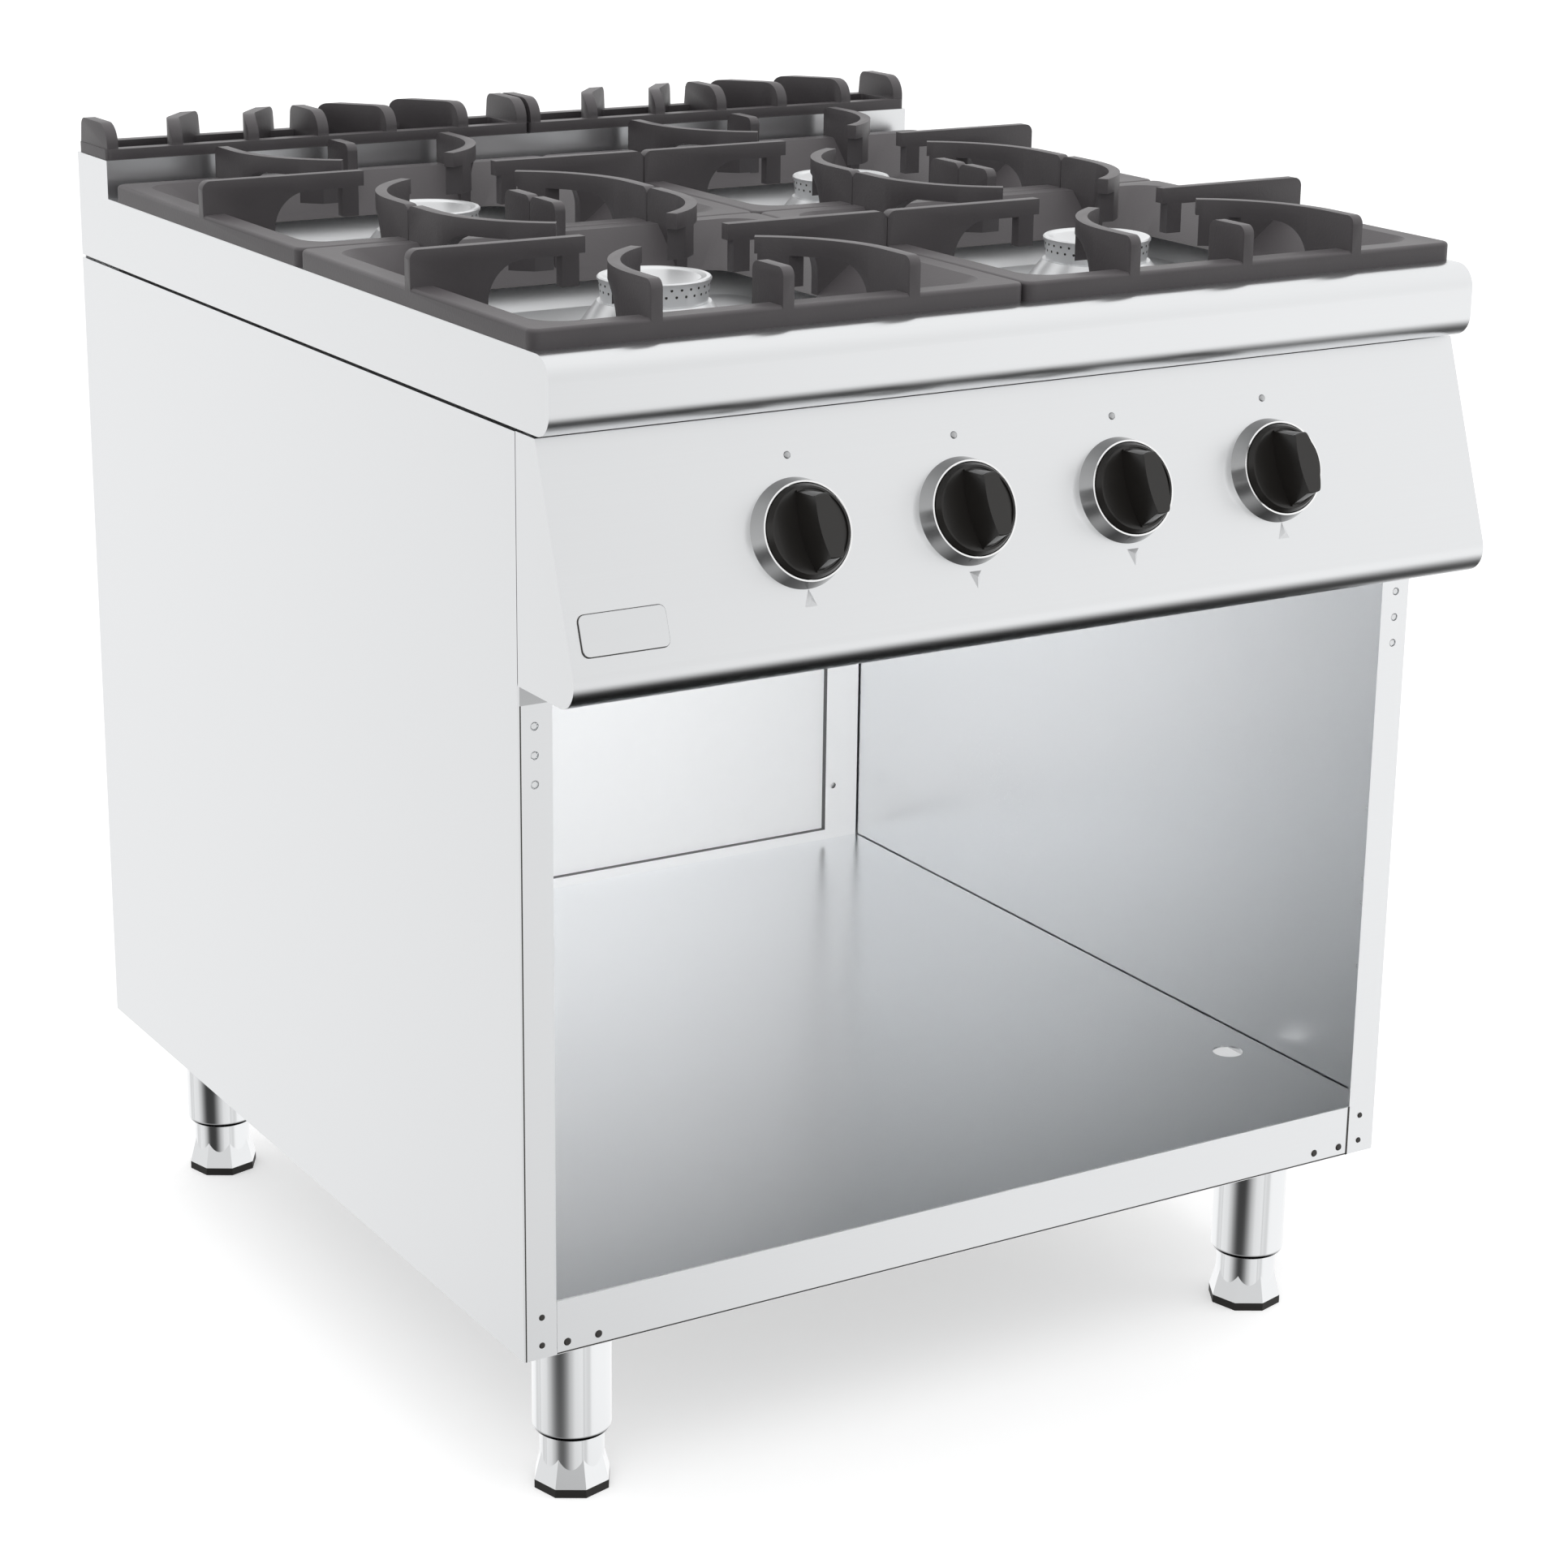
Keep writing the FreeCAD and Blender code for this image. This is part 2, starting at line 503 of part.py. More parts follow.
def turn(body, role, corners, cut=False, lift=None):
    """Turn an outline about the upright sketch axis, adding or cutting."""
    sketch = sketch_in(body, role, lift)
    draw_outline(sketch, corners)
    kind = "Groove" if cut else "Revolution"
    feature = body.newObject(f"PartDesign::{kind}", kind.lower())
    feature.Profile = sketch
    feature.ReferenceAxis = (sketch, ["V_Axis"])
    feature.Angle = 360
    doc.recompute([feature])
    return feature


def blend(body, kind, lower, upper):
    """Loft between two outlines, each given with its height."""
    ends = []
    for corners, height in (lower, upper):
        sketch = sketch_in(body, "XY_Plane", height)
        draw_outline(sketch, corners)
        ends.append(sketch)
    feature = body.newObject(f"PartDesign::{kind}", "blend")
    feature.Profile = ends[0]
    feature.Sections = [ends[1]]
    feature.Ruled = True
    doc.recompute([feature])
    return feature


def round_edges(body, radius, chosen):
    """Fillet those edges of a body that a test on their box picks out."""
    tip = body.Tip
    names = [
        f"Edge{i}"
        for i, edge in enumerate(tip.Shape.Edges, start=1)
        if chosen(edge.BoundBox)
    ]
    feature = body.newObject("PartDesign::Fillet", "rounding")
    feature.Base = (tip, names)
    drive(feature, Radius=radius)
    doc.recompute([feature])
    return feature


def prism(role, outlines, length, lift):
    """Free-standing prism on one of the main planes, for use in a common or a fusion."""
    turns = {
        "XY": FreeCAD.Rotation(),
        "XZ": FreeCAD.Rotation(FreeCAD.Vector(1, 0, 0), 90),
        "YZ": FreeCAD.Rotation(FreeCAD.Vector(1, 1, 1), 120),
    }
    sketch = doc.addObject("Sketcher::SketchObject", "outline")
    letter = {"XY": "z", "XZ": "y", "YZ": "x"}[role]
    sketch.Placement = FreeCAD.Placement(FreeCAD.Vector(), turns[role])
    sketch.setExpression(f"Placement.Base.{letter}", bound(lift))
    for corners in outlines:
        draw_outline(sketch, corners)
    solid = doc.addObject("Part::Extrusion", "prism")
    solid.Base = sketch
    solid.DirMode = "Normal"
    solid.Solid = True
    drive(solid, LengthFwd=length)
    return solid


def join(kind, parts):
    """Common or fusion of several solids."""
    result = doc.addObject(f"Part::{kind}", kind.lower())
    result.Shapes = parts
    return result


def cut(base, tool):
    """Base less tool."""
    result = doc.addObject("Part::Cut", "cut")
    result.Base = base
    result.Tool = tool
    return result


def cylinder(radius, height, x="0", y="0", z="0"):
    """Upright cylinder standing on a point."""
    solid = doc.addObject("Part::Cylinder", "cylinder")
    drive(solid, Radius=radius, Height=height)
    place(solid, x, y, z)
    return solid


def group(parts):
    """Several solids kept together as one piece."""
    result = doc.addObject("Part::Compound", "group")
    result.Links = parts
    return result


def bent_path(points, radius):
    """Wire through points with rounded corners."""
    spots = [FreeCAD.Vector(*[number(rule) for rule in point]) for point in points]
    edges = []
    start = spots[0]
    for before, corner, after in zip(spots, spots[1:], spots[2:]):
        way_in = (before - corner).normalize()
        way_out = (after - corner).normalize()
        half = way_in.getAngle(way_out) / 2
        trim = radius / math.tan(half)
        first = corner + way_in * trim
        last = corner + way_out * trim
        bisector = (way_in + way_out).normalize()
        middle = corner + bisector * (radius / math.sin(half) - radius)
        edges.append(Part.LineSegment(start, first).toShape())
        edges.append(Part.Arc(first, middle, last).toShape())
        start = last
    edges.append(Part.LineSegment(start, spots[-1]).toShape())
    return Part.Wire(edges)


def bent_rod(points, radius, bend):
    """Round rod swept along a bent path."""
    path = bent_path(points, number(bend))
    start = path.Vertexes[0].Point
    way = (path.Edges[0].Vertexes[1].Point - start).normalize()
    section = Part.Wire(Part.makeCircle(number(radius), start, way))
    return path.makePipeShell([section], True, False)


SIDES = (("left", -1), ("right", 1))
ROWS = (("front", "burner_front_y"), ("rear", "burner_rear_y"))
KNOBS = (
    ("rear_left", "-knob_outer_x"),
    ("front_left", "-knob_inner_x"),
    ("front_right", "knob_inner_x"),
    ("rear_right", "knob_outer_x"),
)


def make_hob_top():
    """Hob with a rounded nose, closed ends, an open underside and four openings."""
    body = new_body()
    foot = "hob_height - hob_skirt"
    outside = (
        ("-hob_front", foot, "hob_nose"),
        ("hob_rear", foot),
        ("hob_rear", "hob_height"),
        ("-hob_front", "hob_height", "hob_nose"),
    )
    pad(body, "YZ_Plane", [outside], "width", both=True)
    inner_round = "hob_nose - hob_sheet"
    nose = "hob_sheet - hob_front"
    lip = f"{foot} + hob_sheet"
    inside = (
        (nose, lip, inner_round),
        ("-hob_lip_end", lip),
        ("-hob_lip_end", f"{foot} - hob_sheet"),
        ("hob_rear - hob_sheet", f"{foot} - hob_sheet"),
        ("hob_rear - hob_sheet", "hob_height - hob_sheet"),
        (nose, "hob_height - hob_sheet", inner_round),
    )
    pocket(body, "YZ_Plane", [inside], "width - 2 * hob_sheet", both=True)
    openings = []
    for _, y in ROWS:
        for _, sign in SIDES:
            x = f"{sign} * burner_x"
            openings.append(
                box_corners(
                    f"{x} - well_opening_x / 2",
                    f"{y} - well_opening_y / 2",
                    f"{x} + well_opening_x / 2",
                    f"{y} + well_opening_y / 2",
                    "well_round",
                )
            )
    pocket(body, "XY_Plane", openings, "2 * hob_sheet", lift="hob_height")
    node(body, "hob_top")


def make_well(label, x, y):
    """Pressed pan with a flange, sloping walls and a hole for the burner throat."""
    body = new_body()
    mouth_x, mouth_y = "well_opening_x / 2", "well_opening_y / 2"
    floor_x, floor_y = "well_floor_x / 2", "well_floor_y / 2"
    top = "well_depth - hob_sheet"
    pad(
        body,
        "XY_Plane",
        [
            middle_box(
                f"{mouth_x} + well_flange",
                f"{mouth_y} + well_flange",
                "well_round + well_flange",
            )
        ],
        "well_sheet",
        lift=f"{top} - well_sheet",
    )
    outer_foot = middle_box(
        f"{floor_x} + well_sheet", f"{floor_y} + well_sheet", "well_floor_round + well_sheet"
    )
    outer_top = middle_box(
        f"{mouth_x} + well_sheet", f"{mouth_y} + well_sheet", "well_round + well_sheet"
    )
    blend(body, "AdditiveLoft", (outer_foot, "-well_sheet"), (outer_top, f"{top} - well_sheet"))
    inner_foot = middle_box(floor_x, floor_y, "well_floor_round")
    inner_top = middle_box(mouth_x, mouth_y, "well_round")
    blend(body, "SubtractiveLoft", (inner_foot, "0"), (inner_top, top))
    hole = ("0", "0", "throat_radius + throat_gap")
    bore(body, "XY_Plane", [hole], "2 * well_sheet", lift="well_sheet / 2")
    pilot = (
        "pilot_reach * cos(pilot_angle)",
        "pilot_reach * sin(pilot_angle)",
        "pilot_radius + pilot_play",
    )
    bore(body, "XY_Plane", [pilot], "2 * well_sheet", lift="well_sheet / 2")
    node(body, label, x, y, "well_z")


def finger_side(half, opening, run, reach, extra):
    """Side view of an arched finger that starts on the outer wall of the casting."""
    edge = f"-({half})"
    seat = f"seat_play - {opening} / 2"
    tip = f"{edge} + {reach} + {extra}"
    leg_front = f"{edge} + {reach} - finger_overhang - finger_leg"
    leg_back = f"{edge} + {reach} - finger_overhang"
    arch = f"{edge} + rim_flat + {run} - finger_bite"
    return (
        (edge, "0"),
        (seat, "0"),
        (arch, "finger_bite / 2 - funnel_drop"),
        (arch, "arch_ceiling", "arch_radius"),
        (leg_front, "arch_ceiling"),
        (leg_front, "finger_leg_foot"),
        (leg_back, "finger_leg_foot"),
        (leg_back, "finger_top - finger_tip"),
        (tip, "finger_top - finger_tip"),
        (tip, "finger_top"),
        (edge, "finger_top", "finger_nose"),
    )


def turned(corners, sign):
    """Outline with its first direction taken the other way for a negative sign."""
    return [(f"{sign} * ({spot[0]})",) + tuple(spot[1:]) for spot in corners]


def curled_strip(sign_x, sign_y):
    """Plan of a finger that runs in from the front or rear edge and curves to the middle."""
    half = "finger_thick / 2"
    bend_run = "curl_radius * tan(curl_angle / 2)"
    bend_y = f"-pan_half_y + curl_straight + {bend_run}"
    skew = "finger_thick / 2 * tan(curl_angle / 2)"
    tip_x = f"-curl_root + ({bend_run} + curl_end) * sin(curl_angle)"
    tip_y = f"{bend_y} + ({bend_run} + curl_end) * cos(curl_angle)"
    across_x = f"{half} * cos(curl_angle)"
    across_y = f"{half} * sin(curl_angle)"
    corners = (
        (f"-curl_root - {half}", "-pan_half_y"),
        (f"-curl_root + {half}", "-pan_half_y"),
        (f"-curl_root + {half}", f"{bend_y} - {skew}", f"curl_radius - {half}"),
        (f"{tip_x} + {across_x}", f"{tip_y} - {across_y}"),
        (f"{tip_x} - {across_x}", f"{tip_y} + {across_y}"),
        (f"-curl_root - {half}", f"{bend_y} + {skew}", f"curl_radius + {half}"),
    )
    return [
        (f"{-sign_x} * ({spot[0]})", f"{-sign_y} * ({spot[1]})") + tuple(spot[2:])
        for spot in corners
    ]


def make_pan_support(label, x, y):
    """Cast frame with a funnel, two straight, two short and four curved arched fingers."""
    body = new_body()
    pad(body, "XY_Plane", [middle_box("pan_half_x", "pan_half_y", "pan_corner")], "rim_height")
    low = number("rim_height") / 2
    round_edges(body, "rim_edge", lambda box: box.ZMin > low)
    half = "funnel_half + funnel_wall"
    drop_share = "funnel_drop / funnel_fall"
    foot = middle_box(half, half, "funnel_foot_round + funnel_wall")
    shoulder = middle_box(
        f"funnel_half + shoulder_thick + funnel_run_x * {drop_share}",
        f"funnel_half + shoulder_thick + funnel_run_y * {drop_share}",
        "funnel_round + funnel_wall",
    )
    blend(body, "AdditiveLoft", (foot, "-funnel_drop"), (shoulder, "0"))
    inner_foot = middle_box("funnel_half", "funnel_half", "funnel_foot_round")
    inner_top = middle_box(
        "funnel_half + funnel_run_x", "funnel_half + funnel_run_y", "funnel_round"
    )
    blend(
        body, "SubtractiveLoft", (inner_foot, "-funnel_drop"), (inner_top, "rim_height")
    )
    strips = [curled_strip(i, j) for i in (-1, 1) for j in (-1, 1)]
    plan = prism("XY", strips, "finger_top + funnel_drop", "-funnel_drop")
    reach_y = "curl_straight + curl_radius * sin(curl_angle) + curl_end * cos(curl_angle)"
    side = finger_side("pan_half_y", "well_opening_y", "funnel_run_y", reach_y, "finger_thick")
    views = [prism("YZ", [turned(side, sign)], "2 * pan_half_x", "-pan_half_x") for sign in (1, -1)]
    curled = join("MultiCommon", [plan, join("MultiFuse", views)])
    middles = []
    for sign in (1, -1):
        straight = finger_side(
            "pan_half_x", "well_opening_x", "funnel_run_x", "side_finger_reach", "0"
        )
        middles.append(prism("XZ", [turned(straight, sign)], "finger_thick", "finger_thick / 2"))
        short = (
            ("-pan_half_y", "0"),
            ("seat_play - well_opening_y / 2", "0"),
            ("-pan_half_y + short_finger_reach", "-short_finger_drop"),
            ("-pan_half_y + short_finger_reach", "finger_top", "finger_nose"),
            ("-pan_half_y", "finger_top", "finger_nose"),
        )
        middles.append(prism("YZ", [turned(short, sign)], "finger_thick", "-finger_thick / 2"))
    casting = join("MultiFuse", [body, curled] + middles)
    node(casting, label, x, y, "hob_height")


def make_burner_base(label, x, y):
    """Flared body with a bowl, a throat and a mixing tube that opens to the front."""
    body = new_body()
    outside = (
        ("0", "-throat_drop"),
        ("throat_radius", "-throat_drop"),
        ("throat_radius", "0"),
        ("flare_radius", "0"),
        ("flare_radius", "flare_edge"),
        ("burner_seat_radius", "burner_height"),
        ("0", "burner_height"),
    )
    turn(body, "XZ_Plane", outside)
    mixer = (
        ("0", "0"),
        ("mixing_radius", "0"),
        ("mixing_radius", "mouth_length - mixing_length"),
        ("mouth_radius", "-mixing_length"),
        ("0", "-mixing_length"),
    )
    turn(body, "XY_Plane", mixer, lift="-mixing_drop")
    bowl = (
        ("0", "mixing_wall - throat_drop"),
        ("throat_bore", "mixing_wall - throat_drop"),
        ("throat_bore", "bowl_depth"),
        ("burner_bowl_radius", "burner_height - bowl_depth"),
        ("burner_bowl_radius", "burner_height + flare_edge"),
        ("0", "burner_height + flare_edge"),
    )
    turn(body, "XZ_Plane", bowl, cut=True)
    passage = (
        ("0", "0"),
        ("mixing_radius - mixing_wall", "0"),
        ("mixing_radius - mixing_wall", "mouth_length - mixing_length"),
        ("mouth_radius - mixing_wall", "-mixing_length"),
        ("0", "-mixing_length"),
    )
    turn(body, "XY_Plane", passage, cut=True, lift="-mixing_drop")
    node(body, label, x, y, "well_z")


def make_burner_cap(label, x, y):
    """Hollow cap with a lip, a dished top and a collar that drops into the burner base."""
    body = new_body()
    collar = "burner_bowl_radius - cap_play"
    roof = "cap_height - cap_wall"
    section = (
        (f"{collar} - cap_wall", "-cap_plug_depth"),
        (collar, "-cap_plug_depth"),
        (collar, "0"),
        ("cap_foot_radius", "0"),
        ("cap_radius - cap_edge", "cap_height - cap_lip"),
        ("cap_radius", "cap_height - cap_lip"),
        ("cap_radius", "cap_height - cap_edge"),
        ("cap_radius - cap_edge", "cap_height"),
        ("cap_radius - cap_wall", "cap_height"),
        ("cap_radius - 2 * cap_wall", "cap_height - cap_dish"),
        ("0", "cap_height - cap_dish"),
        ("0", roof),
        (f"{collar} - cap_wall", roof),
    )
    turn(body, "XZ_Plane", section)
    node(body, label, x, y, "well_z + burner_height")


def make_pilots():
    """One small upright pilot beside each burner."""
    parts = []
    head = "pilot_height + pilot_hood_height"
    section = (
        ("0", "-pilot_tail"),
        ("pilot_radius", "-pilot_tail"),
        ("pilot_radius", "0"),
        ("pilot_collar", "0"),
        ("pilot_collar", "pilot_collar_height"),
        ("pilot_radius", "pilot_collar_height"),
        ("pilot_radius", "pilot_height"),
        ("pilot_hood_radius", "pilot_height"),
        ("pilot_hood_radius", head, "pilot_radius"),
        ("0", head),
    )
    for _, y in ROWS:
        for _, sign in SIDES:
            body = new_body()
            turn(body, "XZ_Plane", section)
            place(
                body,
                f"{sign} * burner_x + pilot_reach * cos(pilot_angle)",
                f"{y} + pilot_reach * sin(pilot_angle)",
                "well_z",
            )
            parts.append(body)
    node(group(parts), "pilot_burners")


def make_flue_riser():
    """Sheet box behind the hob, open below, with an inward flange round the top."""
    body = new_body()
    outside = box_corners("-half_width", "hob_rear", "half_width", "carcass_depth")
    pad(body, "XY_Plane", [outside], "riser_z - riser_foot", lift="riser_foot")
    for inset, top in (("hob_sheet", "riser_z - hob_sheet"), ("riser_flange", "riser_z")):
        inside = box_corners(
            f"{inset} - half_width",
            f"hob_rear + {inset}",
            f"half_width - {inset}",
            f"carcass_depth - {inset}",
        )
        pocket(body, "XY_Plane", [inside], f"{top} - riser_foot", lift=top)
    node(body, "flue_riser")


def swept_fin(root, sign):
    """Plan of a fin that starts straight at the front and sweeps to one side."""
    half = "fin_thick / 2"
    front = "-(grid_depth / 2 - fin_inset)"
    rear = "grid_depth / 2 - fin_inset"
    bend_y = f"{front} + fin_straight"
    angle = f"atan(fin_sweep / ({rear} - ({bend_y})))"
    skew = f"{half} * tan({angle} / 2)"
    slant = f"{half} / cos({angle})"
    corners = (
        (f"-{half}", front),
        (half, front),
        (half, f"{bend_y} - {skew}", "fin_bend - fin_thick"),
        (f"fin_sweep + {slant}", rear),
        (f"fin_sweep - {slant}", rear),
        (f"-{half}", f"{bend_y} + {skew}", "fin_bend"),
    )
    return [(f"{root} + {sign} * ({spot[0]})",) + tuple(spot[1:]) for spot in corners]


def make_flue_grid(label, sign):
    """Cast grid with a base frame, three straight fins and four swept fins."""
    body = new_body()
    half_y = "grid_depth / 2"
    ring = (
        middle_box("grid_half", half_y, "grid_corner"),
        middle_box("grid_half - grid_bar", f"{half_y} - grid_bar", "grid_corner / 2"),
    )
    pad(body, "XY_Plane", ring, "grid_bar_height")
    end = "grid_depth / 2 - fin_inset"
    strips = []
    for way in (1, -1):
        strips.append(swept_fin(f"{-way} * fin_inner", way))
        strips.append(swept_fin(f"{-way} * fin_outer", way))
    for root in ("-fin_end", "0", "fin_end"):
        strips.append(
            box_corners(f"{root} - fin_thick / 2", f"-({end})", f"{root} + fin_thick / 2", end)
        )
    plan = prism("XY", strips, "fin_height", "0")
    outline = (
        (f"-({end})", "0"),
        (end, "0"),
        (f"{end} - fin_rear_lean", "fin_height", "fin_rear_round"),
        (f"-({end})", "fin_height", "fin_front_round"),
    )
    view = prism("YZ", [outline], "2 * grid_half", "-grid_half")
    fins = join("MultiCommon", [plan, view])
    casting = join("MultiFuse", [body, fins])
    node(casting, label, f"{sign} * half_width / 2", "(hob_rear + carcass_depth) / 2", "riser_z")


def make_control_panel():
    """Sloping front panel with closed ends, an open back and a hole at each knob."""
    body = new_body()
    outside = (
        ("-panel_seam", "panel_foot_z"),
        ("-panel_foot_forward", "panel_foot_z", "panel_nose"),
        ("-panel_top_forward", "panel_top_z"),
        ("-panel_seam", "panel_top_z"),
    )
    pad(body, "YZ_Plane", [outside], "width", both=True)
    inset = "wall / lean_cos"
    slant = "wall * lean_sin / lean_cos"
    inside = (
        ("wall", "panel_foot_z + wall"),
        (f"{inset} + {slant} - panel_foot_forward", "panel_foot_z + wall", "panel_nose - wall"),
        (f"{inset} - {slant} - panel_top_forward", "panel_top_z - wall"),
        ("wall", "panel_top_z - wall"),
    )
    pocket(body, "YZ_Plane", [inside], "width - 2 * wall", both=True)
    sketch = sketch_in(body, "XY_Plane")
    tilted = FreeCAD.Rotation(FreeCAD.Vector(1, 0, 0), number("90 - panel_lean"))
    sketch.AttachmentOffset = FreeCAD.Placement(FreeCAD.Vector(), tilted)
    sketch.setExpression("AttachmentOffset.Rotation.Angle", bound("90 - panel_lean"))
    sketch.setExpression("AttachmentOffset.Base.y", bound("knob_y"))
    sketch.setExpression("AttachmentOffset.Base.z", bound("knob_z"))
    for _, x in KNOBS:
        draw_circle(sketch, x, "0", "spindle_radius + panel_hole_play")
    grow(body, "Pocket", sketch, Length="2 * wall")
    node(body, "control_panel")


def make_bezel(label, x):
    """Dished cone round a knob."""
    body = new_body()
    section = (
        ("bezel_hole", "0"),
        ("bezel_radius", "0"),
        ("bezel_rim_radius", "bezel_height"),
        ("bezel_rim_radius - bezel_sheet", "bezel_height"),
        ("bezel_radius - 2 * bezel_sheet", "bezel_sheet"),
        ("bezel_hole", "bezel_sheet"),
    )
    turn(body, "XZ_Plane", section)
    on_panel(body, label, x)


def make_knob(label, x):
    """Knob with a low disc, a tall grip bar bowed on both flanks and a flatted bore."""
    body = new_body()
    bore_radius = "spindle_radius + running_play"
    bore_end = "knob_back + knob_bore_depth"
    section = (
        (bore_radius, "knob_back"),
        ("knob_radius", "knob_back"),
        ("knob_radius", "knob_shoulder"),
        ("disc_radius", "disc_top"),
        ("grip_foot", "disc_top"),
        ("knob_face_radius", "knob_face - 2 * knob_edge"),
        ("knob_face_radius", "knob_face", "knob_edge"),
        ("0", "knob_face"),
        ("0", bore_end),
        (bore_radius, bore_end),
    )
    turn(body, "XZ_Plane", section)
    flat = "spindle_flat + running_play"
    key = box_corners("-spindle_radius", flat, "spindle_radius", "spindle_radius + knob_edge")
    pad(body, "XY_Plane", [key], "knob_bore_depth", lift="knob_back")
    sunk_z = "disc_top - disc_dish"
    flanks = []
    for bow, sign in (("grip_bow_left", 1), ("grip_bow_right", -1)):
        reach = f"{sign} * ({bow} - grip_thick / 2)"
        spot = f"{reach} * cos(grip_tilt)", f"{reach} * sin(grip_tilt)"
        flanks.append(cylinder(bow, "knob_face", *spot))
    around = cylinder("disc_radius - disc_rim", "knob_face", z=sunk_z)
    on_panel(cut(body, cut(around, join("MultiCommon", flanks))), label, x)


def make_spindle(label, x):
    """Round tap spindle with a flat where the knob slides on it."""
    body = new_body()
    section = (
        ("0", "-spindle_tail"),
        ("spindle_radius", "-spindle_tail"),
        ("spindle_radius", "spindle_front"),
        ("0", "spindle_front"),
    )
    turn(body, "XZ_Plane", section)
    flat = box_corners("-spindle_radius", "spindle_flat", "spindle_radius", "2 * spindle_radius")
    pocket(body, "XY_Plane", [flat], "spindle_front - bezel_sheet", lift="spindle_front")
    on_panel(body, label, x)


def make_taps():
    """Four tap bodies behind the panel, each with an inlet stub down to the manifold."""
    parts = []
    section = (
        ("0", "-tap_tail_end"),
        ("tap_tail_radius", "-tap_tail_end"),
        ("tap_tail_radius", "-tap_end"),
        ("tap_radius", "-tap_end"),
        ("tap_radius", "-tap_neck_end"),
        ("tap_neck_radius", "-tap_neck_end"),
        ("tap_neck_radius", "-wall"),
        ("spindle_radius + running_play", "-wall"),
        ("spindle_radius + running_play", "-tap_bore_end"),
        ("0", "-tap_bore_end"),
    )
    for _, x in KNOBS:
        body = new_body()
        turn(body, "XZ_Plane", section)
        stub = sketch_in(body, "XZ_Plane", "tap_neck_radius")
        draw_circle(stub, "0", "-manifold_behind", "tap_stub_radius")
        grow(body, "Pad", stub, Length="manifold_below - manifold_radius - tap_neck_radius")
        place(body, x, "knob_y", "knob_z", "90 - panel_lean")
        parts.append(body)
    node(group(parts), "gas_taps")


def make_manifold():
    """Pipe below the taps that turns at the right and ends in the inlet nipple."""
    corner = ("manifold_right", "manifold_y", "manifold_z")
    mouth = ("manifold_right", "inlet_y", "manifold_z")
    start = ("-manifold_left", "manifold_y", "manifold_z")
    bore_start = ("hob_sheet - manifold_left", "manifold_y", "manifold_z")
    pipe = doc.addObject("Part::Feature", "pipe")
    outside = bent_rod((start, corner, mouth), "manifold_radius", "manifold_bend")
    inside = bent_rod((bore_start, corner, mouth), "manifold_bore", "manifold_bend")
    nipple_end = FreeCAD.Vector(*[number(rule) for rule in mouth])
    inward = FreeCAD.Vector(0, -1, 0)
    nipple = Part.makeCylinder(number("inlet_radius"), number("inlet_length"), nipple_end, inward)
    pipe.Shape = outside.fuse(nipple).cut(inside)
    node(pipe, "gas_manifold")


def make_supply_tubes():
    """Bent tube from each tap to the mouth of its burner's mixing tube."""
    parts = []
    for name, x in KNOBS:
        row, side = name.split("_")
        burner = f"{dict(SIDES)[side]} * burner_x"
        mouth_y = f"{dict(ROWS)[row]} - mixing_length - tube_mouth_gap"
        start = (x, "tube_start_y", "tube_start_z")
        first = (x, "tube_turn_y", "tube_turn_z")
        last = (burner, mouth_y, "mixing_z")
        if row == "front":
            bends = [(burner, "tube_turn_y", "mixing_z")]
        else:
            rise_y = f"{mouth_y} - tube_last_run"
            bends = [(x, rise_y, "tube_turn_z"), (burner, rise_y, "mixing_z")]
        tube = doc.addObject("Part::Feature", "tube")
        tube.Shape = bent_rod([start, first] + bends + [last], "tube_radius", "tube_bend")
        parts.append(tube)
    node(group(parts), "burner_supply_tubes")


def make_box_floor():
    """Sheet under the burner box with a flange turned down at the front."""
    body = new_body()
    section = (
        ("0", "upright_top"),
        ("wall", "upright_top"),
        ("wall", "box_floor_z"),
        ("back_y", "box_floor_z"),
        ("back_y", "box_floor_z + wall"),
        ("0", "box_floor_z + wall"),
    )
    pad(body, "YZ_Plane", [section], "2 * inner_x", both=True)
    node(body, "burner_box_floor")


def make_side_panel(label, sign):
    """Side sheet with a rear flange and a stepped upstand inside the hob edge."""
    body = new_body()
    plan = (
        ("half_width", "0"),
        ("half_width", "carcass_depth"),
        ("half_width - rear_flange", "carcass_depth"),
        ("half_width - rear_flange", "carcass_depth - hob_sheet"),
        ("inner_x", "carcass_depth - hob_sheet"),
        ("inner_x", "0"),
    )
    pad(body, "XY_Plane", [turned(plan, sign)], "side_top - leg_height", lift="leg_height")
    upstand = (
        ("inner_x", "side_top - wall"),
        ("inner_x", "side_top"),
        ("half_width - upstand_inset", "side_top"),
        ("half_width - upstand_inset", "hob_height - hob_sheet"),
        ("half_width - upstand_inset - wall", "hob_height - hob_sheet"),
        ("half_width - upstand_inset - wall", "side_top - wall"),
    )
    pad(body, "XZ_Plane", [turned(upstand, sign)], "hob_rear - 3 * hob_sheet", back=True)
    node(body, label)


def make_upright(label, sign):
    """Front upright with a return along the side panel and three holes near its top."""
    body = new_body()
    plan = (
        ("half_width - upright_width", "0"),
        ("inner_x", "0"),
        ("inner_x", "upright_return"),
        ("bay_x", "upright_return"),
        ("bay_x", "wall"),
        ("half_width - upright_width", "wall"),
    )
    pad(body, "XY_Plane", [turned(plan, sign)], "upright_top - leg_height", lift="leg_height")
    holes = []
    for step in range(3):
        drop = f"upright_top - upright_hole_top - {step} * upright_hole_pitch"
        holes.append((f"{sign} * (half_width - upright_hole_x)", drop, "upright_hole"))
    bore(body, "XZ_Plane", holes, "2 * wall")
    node(body, label)


